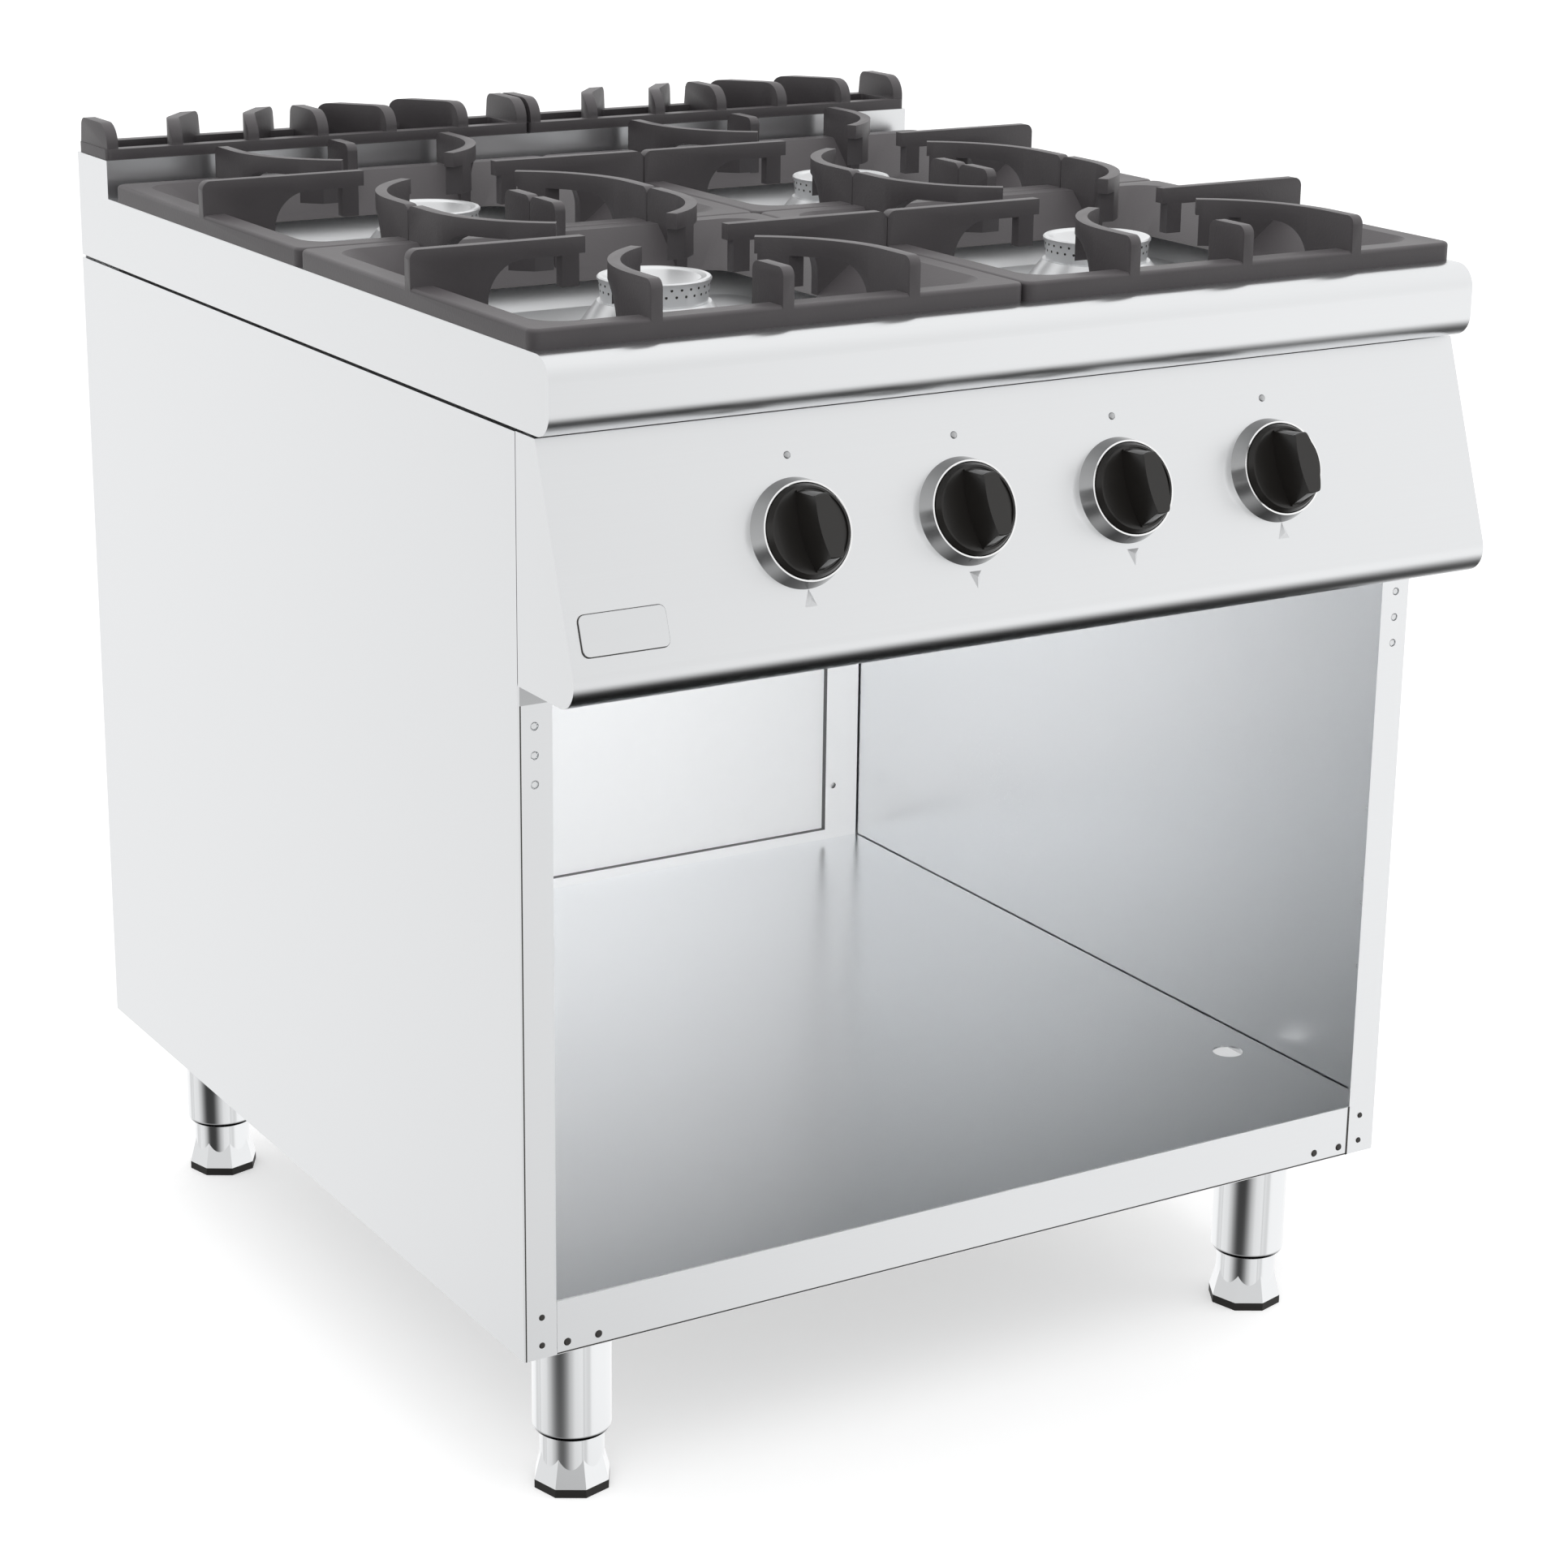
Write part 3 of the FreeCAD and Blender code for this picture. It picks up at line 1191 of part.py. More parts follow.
def make_rail():
    """Front bottom rail with a return along its lower edge."""
    body = new_body()
    section = (
        ("0", "leg_height"),
        ("rail_return", "leg_height"),
        ("rail_return", "leg_height + wall"),
        ("wall", "leg_height + wall"),
        ("wall", "cabinet_floor_z"),
        ("0", "cabinet_floor_z"),
    )
    length = "2 * (half_width - upright_width - rail_gap)"
    pad(body, "YZ_Plane", [section], length, both=True)
    node(body, "front_bottom_rail")


def make_cabinet_floor():
    """Floor sheet with lips turned down at the sides and one round hole."""
    body = new_body()
    top, under, lip = "cabinet_floor_z", "cabinet_floor_z - wall", "cabinet_floor_z - floor_lip"
    section = (
        ("-bay_x", lip),
        ("wall - bay_x", lip),
        ("wall - bay_x", under),
        ("bay_x - wall", under),
        ("bay_x - wall", lip),
        ("bay_x", lip),
        ("bay_x", top),
        ("-bay_x", top),
    )
    pad(body, "XZ_Plane", [section], "frame_front_y - wall", lift="-wall", back=True)
    hole = ("floor_hole_x", "floor_hole_y", "floor_hole_radius")
    bore(body, "XY_Plane", [hole], "2 * wall", lift=f"{top} + wall / 2")
    node(body, "cabinet_floor")


def make_rear_frame():
    """Frame round the back opening, with edges turned back to the back panel."""
    body = new_body()
    foot, head = "cabinet_floor_z + frame_foot", "box_floor_z - frame_head"
    outer = box_corners("-bay_x", "cabinet_floor_z - wall", "bay_x", "box_floor_z")
    opening = box_corners("frame_side - bay_x", foot, "bay_x - frame_side", head)
    edge = box_corners(
        "frame_side - bay_x - wall", f"{foot} - wall", "bay_x - frame_side + wall", f"{head} + wall"
    )
    pad(body, "XZ_Plane", [outer, opening], "wall", lift="-frame_front_y", back=True)
    depth = "back_y - frame_front_y"
    pad(body, "XZ_Plane", [edge, opening], depth, lift="-frame_front_y", back=True)
    holes = [(f"{sign} * frame_hole_x", "frame_hole_z", "frame_hole_radius") for _, sign in SIDES]
    bore(body, "XZ_Plane", holes, "2 * wall", lift="wall / 2 - frame_front_y")
    node(body, "rear_frame")


def make_back_panel():
    """Back sheet from the carcass foot up into the flue riser, with a hole for the inlet."""
    body = new_body()
    side = "half_width - hob_sheet"
    sheet_outline = box_corners(f"-({side})", "leg_height", side, "riser_z - back_top_gap")
    pad(body, "XZ_Plane", [sheet_outline], "wall", lift="-back_y", back=True)
    hole = ("manifold_right", "manifold_z", "inlet_radius + inlet_hole_play")
    bore(body, "XZ_Plane", [hole], "2 * wall", lift="wall / 2 - back_y")
    node(body, "back_panel")


def make_channels():
    """Two channels under the cabinet floor that carry the legs."""
    parts = []
    top, web = "cabinet_floor_z - wall", "leg_height + channel_sheet"
    section = (
        ("channel_inner", "leg_height"),
        ("channel_outer", "leg_height"),
        ("channel_outer", top),
        ("channel_outer - channel_sheet", top),
        ("channel_outer - channel_sheet", web),
        ("channel_inner + channel_sheet", web),
        ("channel_inner + channel_sheet", top),
        ("channel_inner", top),
    )
    for _, sign in SIDES:
        body = new_body()
        length = "channel_rear - channel_front"
        pad(body, "XZ_Plane", [turned(section, sign)], length, lift="-channel_front", back=True)
        parts.append(body)
    node(group(parts), "base_channels")


def make_leg(label, x, y):
    """Leg tube with a closed top and a bore for the foot."""
    body = new_body()
    bore_radius = "foot_neck_radius + foot_play"
    section = (
        (bore_radius, "leg_foot_z"),
        ("leg_radius", "leg_foot_z", "leg_edge"),
        ("leg_radius", "leg_height"),
        ("0", "leg_height"),
        ("0", "leg_height - leg_roof"),
        (bore_radius, "leg_height - leg_roof"),
    )
    turn(body, "XZ_Plane", section)
    node(body, label, x, y)


def octagon(flats):
    """Corners of a regular eight-sided outline of a given width over flats."""
    reach = f"{flats} / 2 / cos(foot_step / 2)"
    angles = [f"foot_turn + ({corner} + 0.5) * foot_step" for corner in range(8)]
    return [(f"{reach} * cos({angle})", f"{reach} * sin({angle})") for angle in angles]


def make_foot(label, x, y):
    """Round neck that slides inside the leg and flares into an eight-sided foot."""
    body = new_body()
    blend(
        body,
        "AdditiveLoft",
        (octagon("foot_flats"), "pad_height"),
        (octagon("foot_top_flats"), "foot_top_z"),
    )
    neck = sketch_in(body, "XY_Plane", "pad_height")
    draw_circle(neck, "0", "0", "foot_neck_radius")
    top = "leg_height - leg_roof"
    grow(body, "Pad", neck, Length=f"{top} - pad_height")
    bore(body, "XY_Plane", [("0", "0", "foot_bore")], f"{top} - foot_top_z - foot_floor", lift=top)
    node(body, label, x, y)


def make_pad(label, x, y):
    """Eight-sided pad under a foot."""
    body = new_body()
    pad(body, "XY_Plane", [octagon("foot_flats")], "pad_height")
    node(body, label, x, y)


make_hob_top()
for row, row_y in ROWS:
    for side, sign in SIDES:
        spot_x = f"{sign} * burner_x"
        make_well(f"burner_well_{row}_{side}", spot_x, row_y)
        make_pan_support(f"pan_support_{row}_{side}", spot_x, row_y)
        make_burner_base(f"burner_base_{row}_{side}", spot_x, row_y)
        make_burner_cap(f"burner_cap_{row}_{side}", spot_x, row_y)
        leg_spot = (f"{sign} * leg_x", f"leg_{row}_y")
        make_leg(f"leg_tube_{row}_{side}", *leg_spot)
        make_foot(f"adjustable_foot_{row}_{side}", *leg_spot)
        make_pad(f"foot_pad_{row}_{side}", *leg_spot)
for name, knob_x in KNOBS:
    make_bezel(f"knob_bezel_{name}", knob_x)
    make_knob(f"knob_{name}", knob_x)
    make_spindle(f"tap_spindle_{name}", knob_x)
for side, sign in SIDES:
    make_flue_grid(f"flue_grid_{side}", sign)
    make_side_panel(f"{side}_side_panel", sign)
    make_upright(f"{side}_front_upright", sign)
make_pilots()
make_flue_riser()
make_control_panel()
make_taps()
make_manifold()
make_supply_tubes()
make_box_floor()
make_rail()
make_cabinet_floor()
make_rear_frame()
make_back_panel()
make_channels()

doc.recompute()
os.makedirs("parts", exist_ok=True)
for thing in doc.Objects:
    if "Invalid" in thing.State or "Error" in thing.State:
        raise RuntimeError(f"{thing.Name} is not sound: {thing.State}")
for piece in NODES:
    shape = piece.Shape
    if shape.isNull() or not shape.isValid():
        raise RuntimeError(f"{piece.Label} has no valid shape")
    shape.exportStep(os.path.join("parts", piece.Label + ".step"))
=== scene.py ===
# %% [markdown]
# # A four-burner gas range
# The solids of the range come ready made, one mesh per piece, all in metres with the
# floor at Z = 0 and the knobs towards -Y. This lesson gives them real finishes, rounds
# the castings, adds the small parts that a solid model leaves out, and lights the lot.

# %% Load the frame
import json
import math

import bmesh
import bpy
from mathutils import Matrix, Vector

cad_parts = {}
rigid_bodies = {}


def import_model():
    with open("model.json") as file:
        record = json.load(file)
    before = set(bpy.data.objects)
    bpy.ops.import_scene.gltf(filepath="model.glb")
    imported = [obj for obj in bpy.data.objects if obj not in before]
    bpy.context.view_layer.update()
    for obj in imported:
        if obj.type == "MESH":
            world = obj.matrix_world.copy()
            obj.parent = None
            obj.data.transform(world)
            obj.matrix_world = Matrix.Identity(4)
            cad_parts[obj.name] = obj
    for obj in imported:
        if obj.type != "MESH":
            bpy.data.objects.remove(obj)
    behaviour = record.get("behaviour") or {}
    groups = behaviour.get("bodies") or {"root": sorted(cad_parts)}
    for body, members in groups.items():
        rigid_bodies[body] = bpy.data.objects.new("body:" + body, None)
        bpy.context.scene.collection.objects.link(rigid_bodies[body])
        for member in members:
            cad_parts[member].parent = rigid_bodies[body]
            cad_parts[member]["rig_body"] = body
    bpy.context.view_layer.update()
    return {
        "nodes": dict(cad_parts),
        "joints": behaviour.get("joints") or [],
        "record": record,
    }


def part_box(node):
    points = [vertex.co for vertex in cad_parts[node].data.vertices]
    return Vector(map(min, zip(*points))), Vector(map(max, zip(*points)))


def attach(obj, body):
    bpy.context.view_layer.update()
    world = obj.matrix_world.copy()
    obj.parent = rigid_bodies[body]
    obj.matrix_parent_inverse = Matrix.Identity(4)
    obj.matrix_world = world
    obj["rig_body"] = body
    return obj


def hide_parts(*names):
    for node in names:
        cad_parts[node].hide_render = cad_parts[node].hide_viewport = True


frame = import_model()
nodes = frame["nodes"]

# %% [markdown]
# ## Shader maths in plain Python
# A material is a graph of nodes. In the editor each sum is a Math node that is wired by
# hand. Wrapping a socket in a small class lets us write `1 - mask * 0.3` instead, and the
# Math nodes appear by themselves.


# %% A socket that can be calculated with
class Wire:
    """An output socket of a material, usable in arithmetic."""

    def __init__(self, paint, socket):
        self.paint = paint
        self.socket = socket

    def maths(self, operation, first, second):
        return self.paint.node(
            "ShaderNodeMath", {"operation": operation}, {0: first, 1: second}
        )

    def __add__(self, other):
        return self.maths("ADD", self, other)

    def __sub__(self, other):
        return self.maths("SUBTRACT", self, other)

    def __rsub__(self, other):
        return self.maths("SUBTRACT", other, self)

    def __mul__(self, other):
        return self.maths("MULTIPLY", self, other)

    def __truediv__(self, other):
        return self.maths("DIVIDE", self, other)

    def __rtruediv__(self, other):
        return self.maths("DIVIDE", other, self)

    __radd__ = __add__
    __rmul__ = __mul__


print("sockets can now be added, subtracted, multiplied and divided")

# %% [markdown]
# ## One method for any node
# Every other node comes from one method. It takes the type of the node, its settings, and
# the values or links of its sockets. A finish then reads as a short list of what it is
# made of, and a colour ramp gets its stops in the same call.


# %% A material that is built node by node
class Paint:
    """A material or world tree with one method that makes any node."""

    def __init__(self, owner):
        owner.use_nodes = True
        self.owner = owner
        self.tree = owner.node_tree
        self.tree.nodes.clear()

    def node(self, kind, settings=None, inputs=None, output=0):
        made = self.tree.nodes.new(kind)
        for name, value in (settings or {}).items():
            if name == "stops":
                self.set_stops(made.color_ramp, value)
            else:
                setattr(made, name, value)
        for name, value in (inputs or {}).items():
            self.feed(made.inputs[name], value)
        return Wire(self, made.outputs[output]) if made.outputs else made

    def feed(self, socket, value):
        if isinstance(value, Wire):
            self.tree.links.new(value.socket, socket)
        else:
            socket.default_value = value

    @staticmethod
    def set_stops(ramp, stops):
        while len(ramp.elements) > 1:
            ramp.elements.remove(ramp.elements[-1])
        for i, (place, shade) in enumerate(stops):
            stop = ramp.elements[0] if i == 0 else ramp.elements.new(place)
            stop.position = place
            stop.color = (shade, shade, shade, 1)


def new_paint(name):
    return Paint(bpy.data.materials.new(name))


def surface(paint, inputs, bump=None):
    """Finish a material with one Principled shader; bump is (height, distance, strength)."""
    if bump:
        height, distance, strength = bump
        inputs["Normal"] = paint.node(
            "ShaderNodeBump",
            None,
            {"Height": height, "Distance": distance, "Strength": strength},
        )
    shader = paint.node("ShaderNodeBsdfPrincipled", None, inputs)
    paint.node("ShaderNodeOutputMaterial", None, {"Surface": shader})
    print("finish:", paint.owner.name)
    return paint.owner


print("a finish ends with surface()")

# %% [markdown]
# ## Places, patterns and colours
# Most finishes start from the same few things: a place on the piece, a noise that breaks
# up the surface, and a blend of two colours. Object coordinates keep a pattern fixed to
# its piece when a knob turns or a casting is lifted.


# %% Small helpers for every finish
def grey(level, warmth=0.0):
    """A near-neutral colour; warmth above zero leans to red."""
    return (level * (1 + warmth), level, level * (1 - warmth), 1)


def object_place(paint, stretch=(1, 1, 1)):
    """Object coordinates, stretched for a pattern."""
    place = paint.node("ShaderNodeTexCoord", output="Object")
    return paint.node("ShaderNodeMapping", None, {"Vector": place, "Scale": stretch})


def part_of(paint, source, axis):
    """One axis of the piece's normal or of its Object coordinates."""
    place = paint.node("ShaderNodeTexCoord", output=source)
    return paint.node("ShaderNodeSeparateXYZ", None, {0: place}, output=axis)


def between(paint, value, ends):
    """How far a value has gone from one end to the other, from 0 to 1."""
    return paint.node(
        "ShaderNodeMapRange", None, {0: value, "From Min": ends[0], "From Max": ends[1]}
    )


def noise(paint, place, scale, detail=2.0, roughness=0.5):
    return paint.node(
        "ShaderNodeTexNoise",
        None,
        {"Vector": place, "Scale": scale, "Detail": detail, "Roughness": roughness},
    )


def blend_colour(paint, factor, low, high):
    return paint.node(
        "ShaderNodeMix",
        {"data_type": "RGBA"},
        {"Factor": factor, "A": low, "B": high},
        output="Result",
    )


print("a mid grey is", grey(0.5))

# %% [markdown]
# ## The control panel's own frame
# The panel leans back, so marks on it are easiest to place in its own axes. These could
# be measured from its mesh, but the knob joints in the record already hold a point on the
# panel and the direction out of it.

# %% Axes of the panel
MM = 0.001
turning = {joint["child"]: joint for joint in frame["joints"] if joint["type"] == "hinge"}
any_tap = next(iter(turning.values()))
outward = Vector(any_tap["axis"]).normalized()
across = Vector((1, 0, 0))
upward = outward.cross(across)
panel_point = Vector((0, any_tap["pos_m"][1], any_tap["pos_m"][2]))
panel_turn = Matrix((across, upward, outward)).transposed().to_4x4()
PANEL = Matrix.Translation(panel_point) @ panel_turn
print("panel leans", round(math.degrees(math.atan2(upward.y, upward.z)), 1), "degrees")

# %% [markdown]
# ## Sheet steel
# Satin stainless steel is a metal with a fine grain along the rolling direction. A noise
# stretched along one axis gives that grain. It moves the roughness a little and the
# brightness hardly at all, so the big panels stay calm. Turned and pickled parts are the
# same finish with another grain, or with a metal value below one.

# %% Steel finishes
COOL = -0.012
FINE_DETAIL = 3.0
FINE_SHARE, CLOUD_SHARE, CLOUD_SCALE = 0.6, 0.4, 3.0
DIMMEST = 0.97
ROUGH_SPREAD = 0.03
GRAIN_BUMP = (0.01 * MM, 0.15)
ALONG_X, ALONG_Y, ALONG_Z = (4, 900, 900), (900, 4, 900), (300, 300, 4)
COARSE_X, CLOUDY, RINGED = (6, 300, 300), (60, 60, 60), (60, 60, 600)
STEELS = {  # level, roughness, grain, metal
    "satin_steel": (0.86, 0.28, ALONG_X, 1.0),
    "inner_steel": (0.90, 0.20, ALONG_Y, 1.0),
    "back_steel": (0.93, 0.45, CLOUDY, 0.25),
    "bright_steel": (0.88, 0.40, COARSE_X, 0.7),
    "plate_steel": (0.84, 0.30, COARSE_X, 1.0),
    "pipe_steel": (0.55, 0.35, ALONG_X, 1.0),
    "leg_steel": (0.86, 0.10, ALONG_Z, 1.0),
    "burner_metal": (0.90, 0.34, RINGED, 0.75),
}


def steel(name, level, rough, grain, metal):
    """Sheet or turned metal; metal below one is a skin dulled by heat or pickling."""
    paint = new_paint(name)
    fine = noise(paint, object_place(paint, grain), 1.0, FINE_DETAIL)
    cloud = noise(paint, object_place(paint), CLOUD_SCALE)
    mix = fine * FINE_SHARE + cloud * CLOUD_SHARE
    dim, full = grey(level * DIMMEST, COOL), grey(level, COOL)
    return surface(
        paint,
        {
            "Base Color": blend_colour(paint, mix, dim, full),
            "Metallic": metal,
            "Roughness": rough + (mix - 0.5) * ROUGH_SPREAD,
        },
        bump=(fine, *GRAIN_BUMP),
    )


FINISHES = {name: steel(name, *values) for name, values in STEELS.items()}

# %% [markdown]
# ## Cast iron
# The pan supports and flue grids are enamelled castings: dark and slightly warm. Their
# upper faces carry a painted highlight that makes them paler: the Z of the normal finds
# them. A fine bump makes the grainy skin that breaks up highlights.

# %% Cast-iron finish
IRON_DARK, IRON_PALE = (0.052, 0.047, 0.050, 1), (0.115, 0.106, 0.111, 1)
IRON_SKIN, IRON_GRIT, IRON_CLOUD = 420.0, 0.6, 18.0
CLOUD_PALES, WEAR_PALES = 0.35, 0.55
WEAR_TILT = (0.1, 0.8)
IRON_ROUGH, IRON_ROUGH_SPREAD = 0.38, 0.12
IRON_BUMP = (0.4 * MM, 0.35)


def cast_iron():
    paint = new_paint("cast_iron")
    place = object_place(paint)
    skin = noise(paint, place, IRON_SKIN, FINE_DETAIL, IRON_GRIT)
    cloud = noise(paint, place, IRON_CLOUD)
    # painted highlight: faces turn paler the more their normal points up
    worn = between(paint, part_of(paint, "Normal", "Z"), WEAR_TILT)
    pale = cloud * CLOUD_PALES + worn * WEAR_PALES
    return surface(
        paint,
        {
            "Base Color": blend_colour(paint, pale, IRON_DARK, IRON_PALE),
            "Roughness": IRON_ROUGH + cloud * IRON_ROUGH_SPREAD,
        },
        bump=(skin, *IRON_BUMP),
    )


FINISHES["cast_iron"] = cast_iron()

# %% [markdown]
# ## Plastic, rubber and brass
# The knobs are moulded and glossy, the pads under the feet are dull, and rivets and ports
# lie between the two. One function makes all three blacks. The taps are turned brass,
# with a cloudy tarnish in colour and roughness.

# %% Black and brass finishes
BLACK_WARMTH, BLACK_SPREAD, BLACK_CLOUD, BLACK_ROUGH_SPREAD = 0.12, 1.3, 60.0, 0.06
BLACKS = {  # level, roughness, coat
    "knob_black": (0.010, 0.30, 0.1),
    "pad_black": (0.012, 0.6, 0.0),
    "dark_rivet": (0.020, 0.35, 0.0),
}
BRASS_DARK, BRASS_PALE = (0.66, 0.47, 0.19, 1), (0.74, 0.55, 0.25, 1)
BRASS_CLOUD, BRASS_ROUGH, BRASS_ROUGH_SPREAD = 200.0, 0.24, 0.1


def moulded(name, level, rough, coat):
    paint = new_paint(name)
    cloud = noise(paint, object_place(paint), BLACK_CLOUD)
    low, high = grey(level, BLACK_WARMTH), grey(level * BLACK_SPREAD, BLACK_WARMTH)
    return surface(
        paint,
        {
            "Base Color": blend_colour(paint, cloud, low, high),
            "Roughness": rough + cloud * BLACK_ROUGH_SPREAD,
            "Coat Weight": coat,
        },
    )


def brass():
    paint = new_paint("tap_brass")
    cloud = noise(paint, object_place(paint), BRASS_CLOUD)
    return surface(
        paint,
        {
            "Base Color": blend_colour(paint, cloud, BRASS_DARK, BRASS_PALE),
            "Metallic": 1.0,
            "Roughness": BRASS_ROUGH + cloud * BRASS_ROUGH_SPREAD,
        },
    )


for name, values in BLACKS.items():
    FINISHES[name] = moulded(name, *values)
FINISHES["tap_brass"] = brass()

# %% [markdown]
# ## Turned chrome
# The cones round the knobs are turned on a lathe. Their fine grooves gather the light into
# wedges, bright to the left and dark above and below. An anisotropic shader could do this,
# but it depends on the lamps. Here the wedges are a painted reflection in the base colour:
# the shader finds the direction of each spot round the cone from its normal and looks the
# brightness up in a ramp. The flat rim has no such direction and stays bright.

# %% Painted reflections: wedges of light on the bezels
WEDGE_STOPS = (
    (0.0, 0.35), (0.15, 0.22), (0.25, 0.09), (0.33, 0.26), (0.40, 0.48), (0.50, 0.62),
    (0.57, 1.0), (0.61, 0.72), (0.66, 0.20), (0.75, 0.10), (0.85, 0.28), (1.0, 0.35),
)
CHROME_LEVEL, RIM_LEVEL, RIM_FACING = 0.95, 0.98, 0.9
GROOVE_SCALE, CHROME_ROUGH, CHROME_ROUGH_SPREAD = 900.0, 0.10, 0.06


def turned_chrome():
    paint = new_paint("bezel_chrome")
    facing = paint.node("ShaderNodeTexCoord", output="Normal")
    below, left, ahead = (
        paint.node(
            "ShaderNodeVectorMath",
            {"operation": "DOT_PRODUCT"},
            {0: facing, 1: way},
            output="Value",
        )
        for way in (-upward, -across, outward)
    )
    angle = paint.node("ShaderNodeMath", {"operation": "ARCTAN2"}, {0: below, 1: left})
    turn = angle / math.tau + 0.5
    # painted reflection: each wedge's brightness comes from a ramp and goes into the base
    # colour
    wedge = paint.node("ShaderNodeValToRGB", {"stops": WEDGE_STOPS}, {0: turn})
    rim = paint.node("ShaderNodeMath", {"operation": "GREATER_THAN"}, {0: ahead, 1: RIM_FACING})
    shade = blend_colour(paint, wedge, grey(0.0), grey(CHROME_LEVEL))
    grooves = noise(paint, object_place(paint), GROOVE_SCALE)
    return surface(
        paint,
        {
            "Base Color": blend_colour(paint, rim, shade, grey(RIM_LEVEL)),
            "Metallic": 1.0,
            "Roughness": CHROME_ROUGH + grooves * CHROME_ROUGH_SPREAD,
        },
    )


FINISHES["bezel_chrome"] = turned_chrome()

# %% [markdown]
# ## Inside the cabinet
# Two pieces in the cabinet carry painted shade that differs from place to place. The frame
# at the back is bright where it faces the room and darkened by painted shade on its
# turned-in edges. The floor is darkened by painted shade towards the front. Each could be
# split into faces with their own materials, but one level that runs along Y is enough: the
# Y of the normal tells the faces of the frame apart, and the Y of the Object coordinates
# runs along the floor.


# %% Finishes with painted shade by place and direction
def split_steel(name, source, levels, ends, rough, grain, metal):
    """Steel whose level runs from one end to the other along Y of a place or a normal."""
    paint = new_paint(name)
    low, high = (grey(level, COOL) for level in levels)
    run = between(paint, part_of(paint, source, "Y"), ends)
    fine = noise(paint, object_place(paint, grain), 1.0, FINE_DETAIL)
    return surface(
        paint,
        {
            "Base Color": blend_colour(paint, run, low, high),
            "Metallic": metal,
            "Roughness": rough + (fine - 0.5) * ROUGH_SPREAD,
        },
    )


floor_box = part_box("cabinet_floor")
floor_run = (floor_box[0].y, floor_box[1].y)
# painted shade: the frame's faces towards the room are bright, its turned-in edges dark
FRAME_LEVELS, FRAME_ROUGH, FRAME_METAL = (0.93, 0.10), 0.44, 0.25
# painted shade: the cabinet floor darkens towards the front and pales towards the back
FLOOR_LEVELS, FLOOR_ROUGH = (0.50, 0.92), 0.24
frame_steel = split_steel(
    "frame_steel", "Normal", FRAME_LEVELS, (-1, 0), FRAME_ROUGH, ALONG_X, FRAME_METAL
)
floor_steel = split_steel(
    "floor_steel", "Object", FLOOR_LEVELS, floor_run, FLOOR_ROUGH, ALONG_Y, 1.0
)

# %% [markdown]
# ## Dressing the solids
# The record names a slot for each solid, and a slot is the name of a finish. The pieces in
# the cabinet then get their own. The mesh of a solid stays as it is: only its material
# changes.

# %% Dress every solid by its slot
CABINET = {
    "rear_frame": frame_steel,
    "cabinet_floor": floor_steel,
    "back_panel": FINISHES["back_steel"],
    "burner_box_floor": FINISHES["pipe_steel"],
}
slots = {entry["node"]: entry["material_slot"] for entry in frame["record"]["subparts"]}
for name, solid in nodes.items():
    solid.data.materials.clear()
    solid.data.materials.append(FINISHES[slots[name]])
for name, finish in CABINET.items():
    nodes[name].data.materials[0] = finish
print("dressed", len(slots), "solids")

# %% [markdown]
# ## Rounded castings
# A casting has no sharp edge anywhere. The solids have crisp ones, and a shader can only
# pretend to round them. So a merged copy of each casting gets a real bevel on every edge
# that turns by more than a limit, and then stands in for the solid.

# %% Bevelled copies of the castings
MERGE_DISTANCE = 0.01 * MM
FLAT_ANGLE, HARD_ANGLE, CREASE_ANGLE = (math.radians(angle) for angle in (1, 30, 50))
CASTING_ROUND, ROUND_SEGMENTS = 2.2 * MM, 3


def softened(node):
    """A merged copy of a solid with its hard edges rounded."""
    mesh = nodes[node].data.copy()
    shape = bmesh.new()
    shape.from_mesh(mesh)
    bmesh.ops.remove_doubles(shape, verts=shape.verts, dist=MERGE_DISTANCE)
    bmesh.ops.dissolve_limit(
        shape,
        angle_limit=FLAT_ANGLE,
        verts=shape.verts,
        edges=shape.edges,
        use_dissolve_boundaries=False,
    )
    hard = [
        edge
        for edge in shape.edges
        if len(edge.link_faces) == 2 and edge.calc_face_angle() > HARD_ANGLE
    ]
    bmesh.ops.bevel(
        shape,
        geom=hard,
        offset=CASTING_ROUND,
        offset_type="OFFSET",
        affect="EDGES",
        segments=ROUND_SEGMENTS,
        profile=0.5,
        material=-1,
        clamp_overlap=True,
    )
    shape.to_mesh(mesh)
    shape.free()
    mesh.shade_smooth()
    mesh.set_sharp_from_angle(angle=CREASE_ANGLE)
    piece = bpy.data.objects.new("soft_" + node, mesh)
    bpy.context.scene.collection.objects.link(piece)
    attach(piece, nodes[node]["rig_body"])
    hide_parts(node)


castings = [name for name in nodes if name.startswith(("pan_support", "flue_grid"))]
for name in castings:
    softened(name)
print("rounded", len(castings), "castings")

# %% [markdown]
# ## From a bmesh to a piece
# Each small part below starts as a bmesh and ends the same way: its faces are turned
# outwards, it becomes a mesh with one finish, and it rides on the body that carries it.
# One function does this for all, so no part misses a step.

# %% One way to turn a bmesh into a finished piece
SMOOTH_ANGLE = math.radians(40)


def finish_piece(name, shape, finish, body="carcass", smooth=True):
    bmesh.ops.recalc_face_normals(shape, faces=shape.faces)
    mesh = bpy.data.meshes.new(name)
    shape.to_mesh(mesh)
    shape.free()
    if smooth:
        mesh.shade_smooth()
        mesh.set_sharp_from_angle(angle=SMOOTH_ANGLE)
    mesh.materials.append(FINISHES[finish])
    piece = bpy.data.objects.new(name, mesh)
    bpy.context.scene.collection.objects.link(piece)
    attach(piece, body)
    print("piece:", name, "with", len(mesh.polygons), "faces")
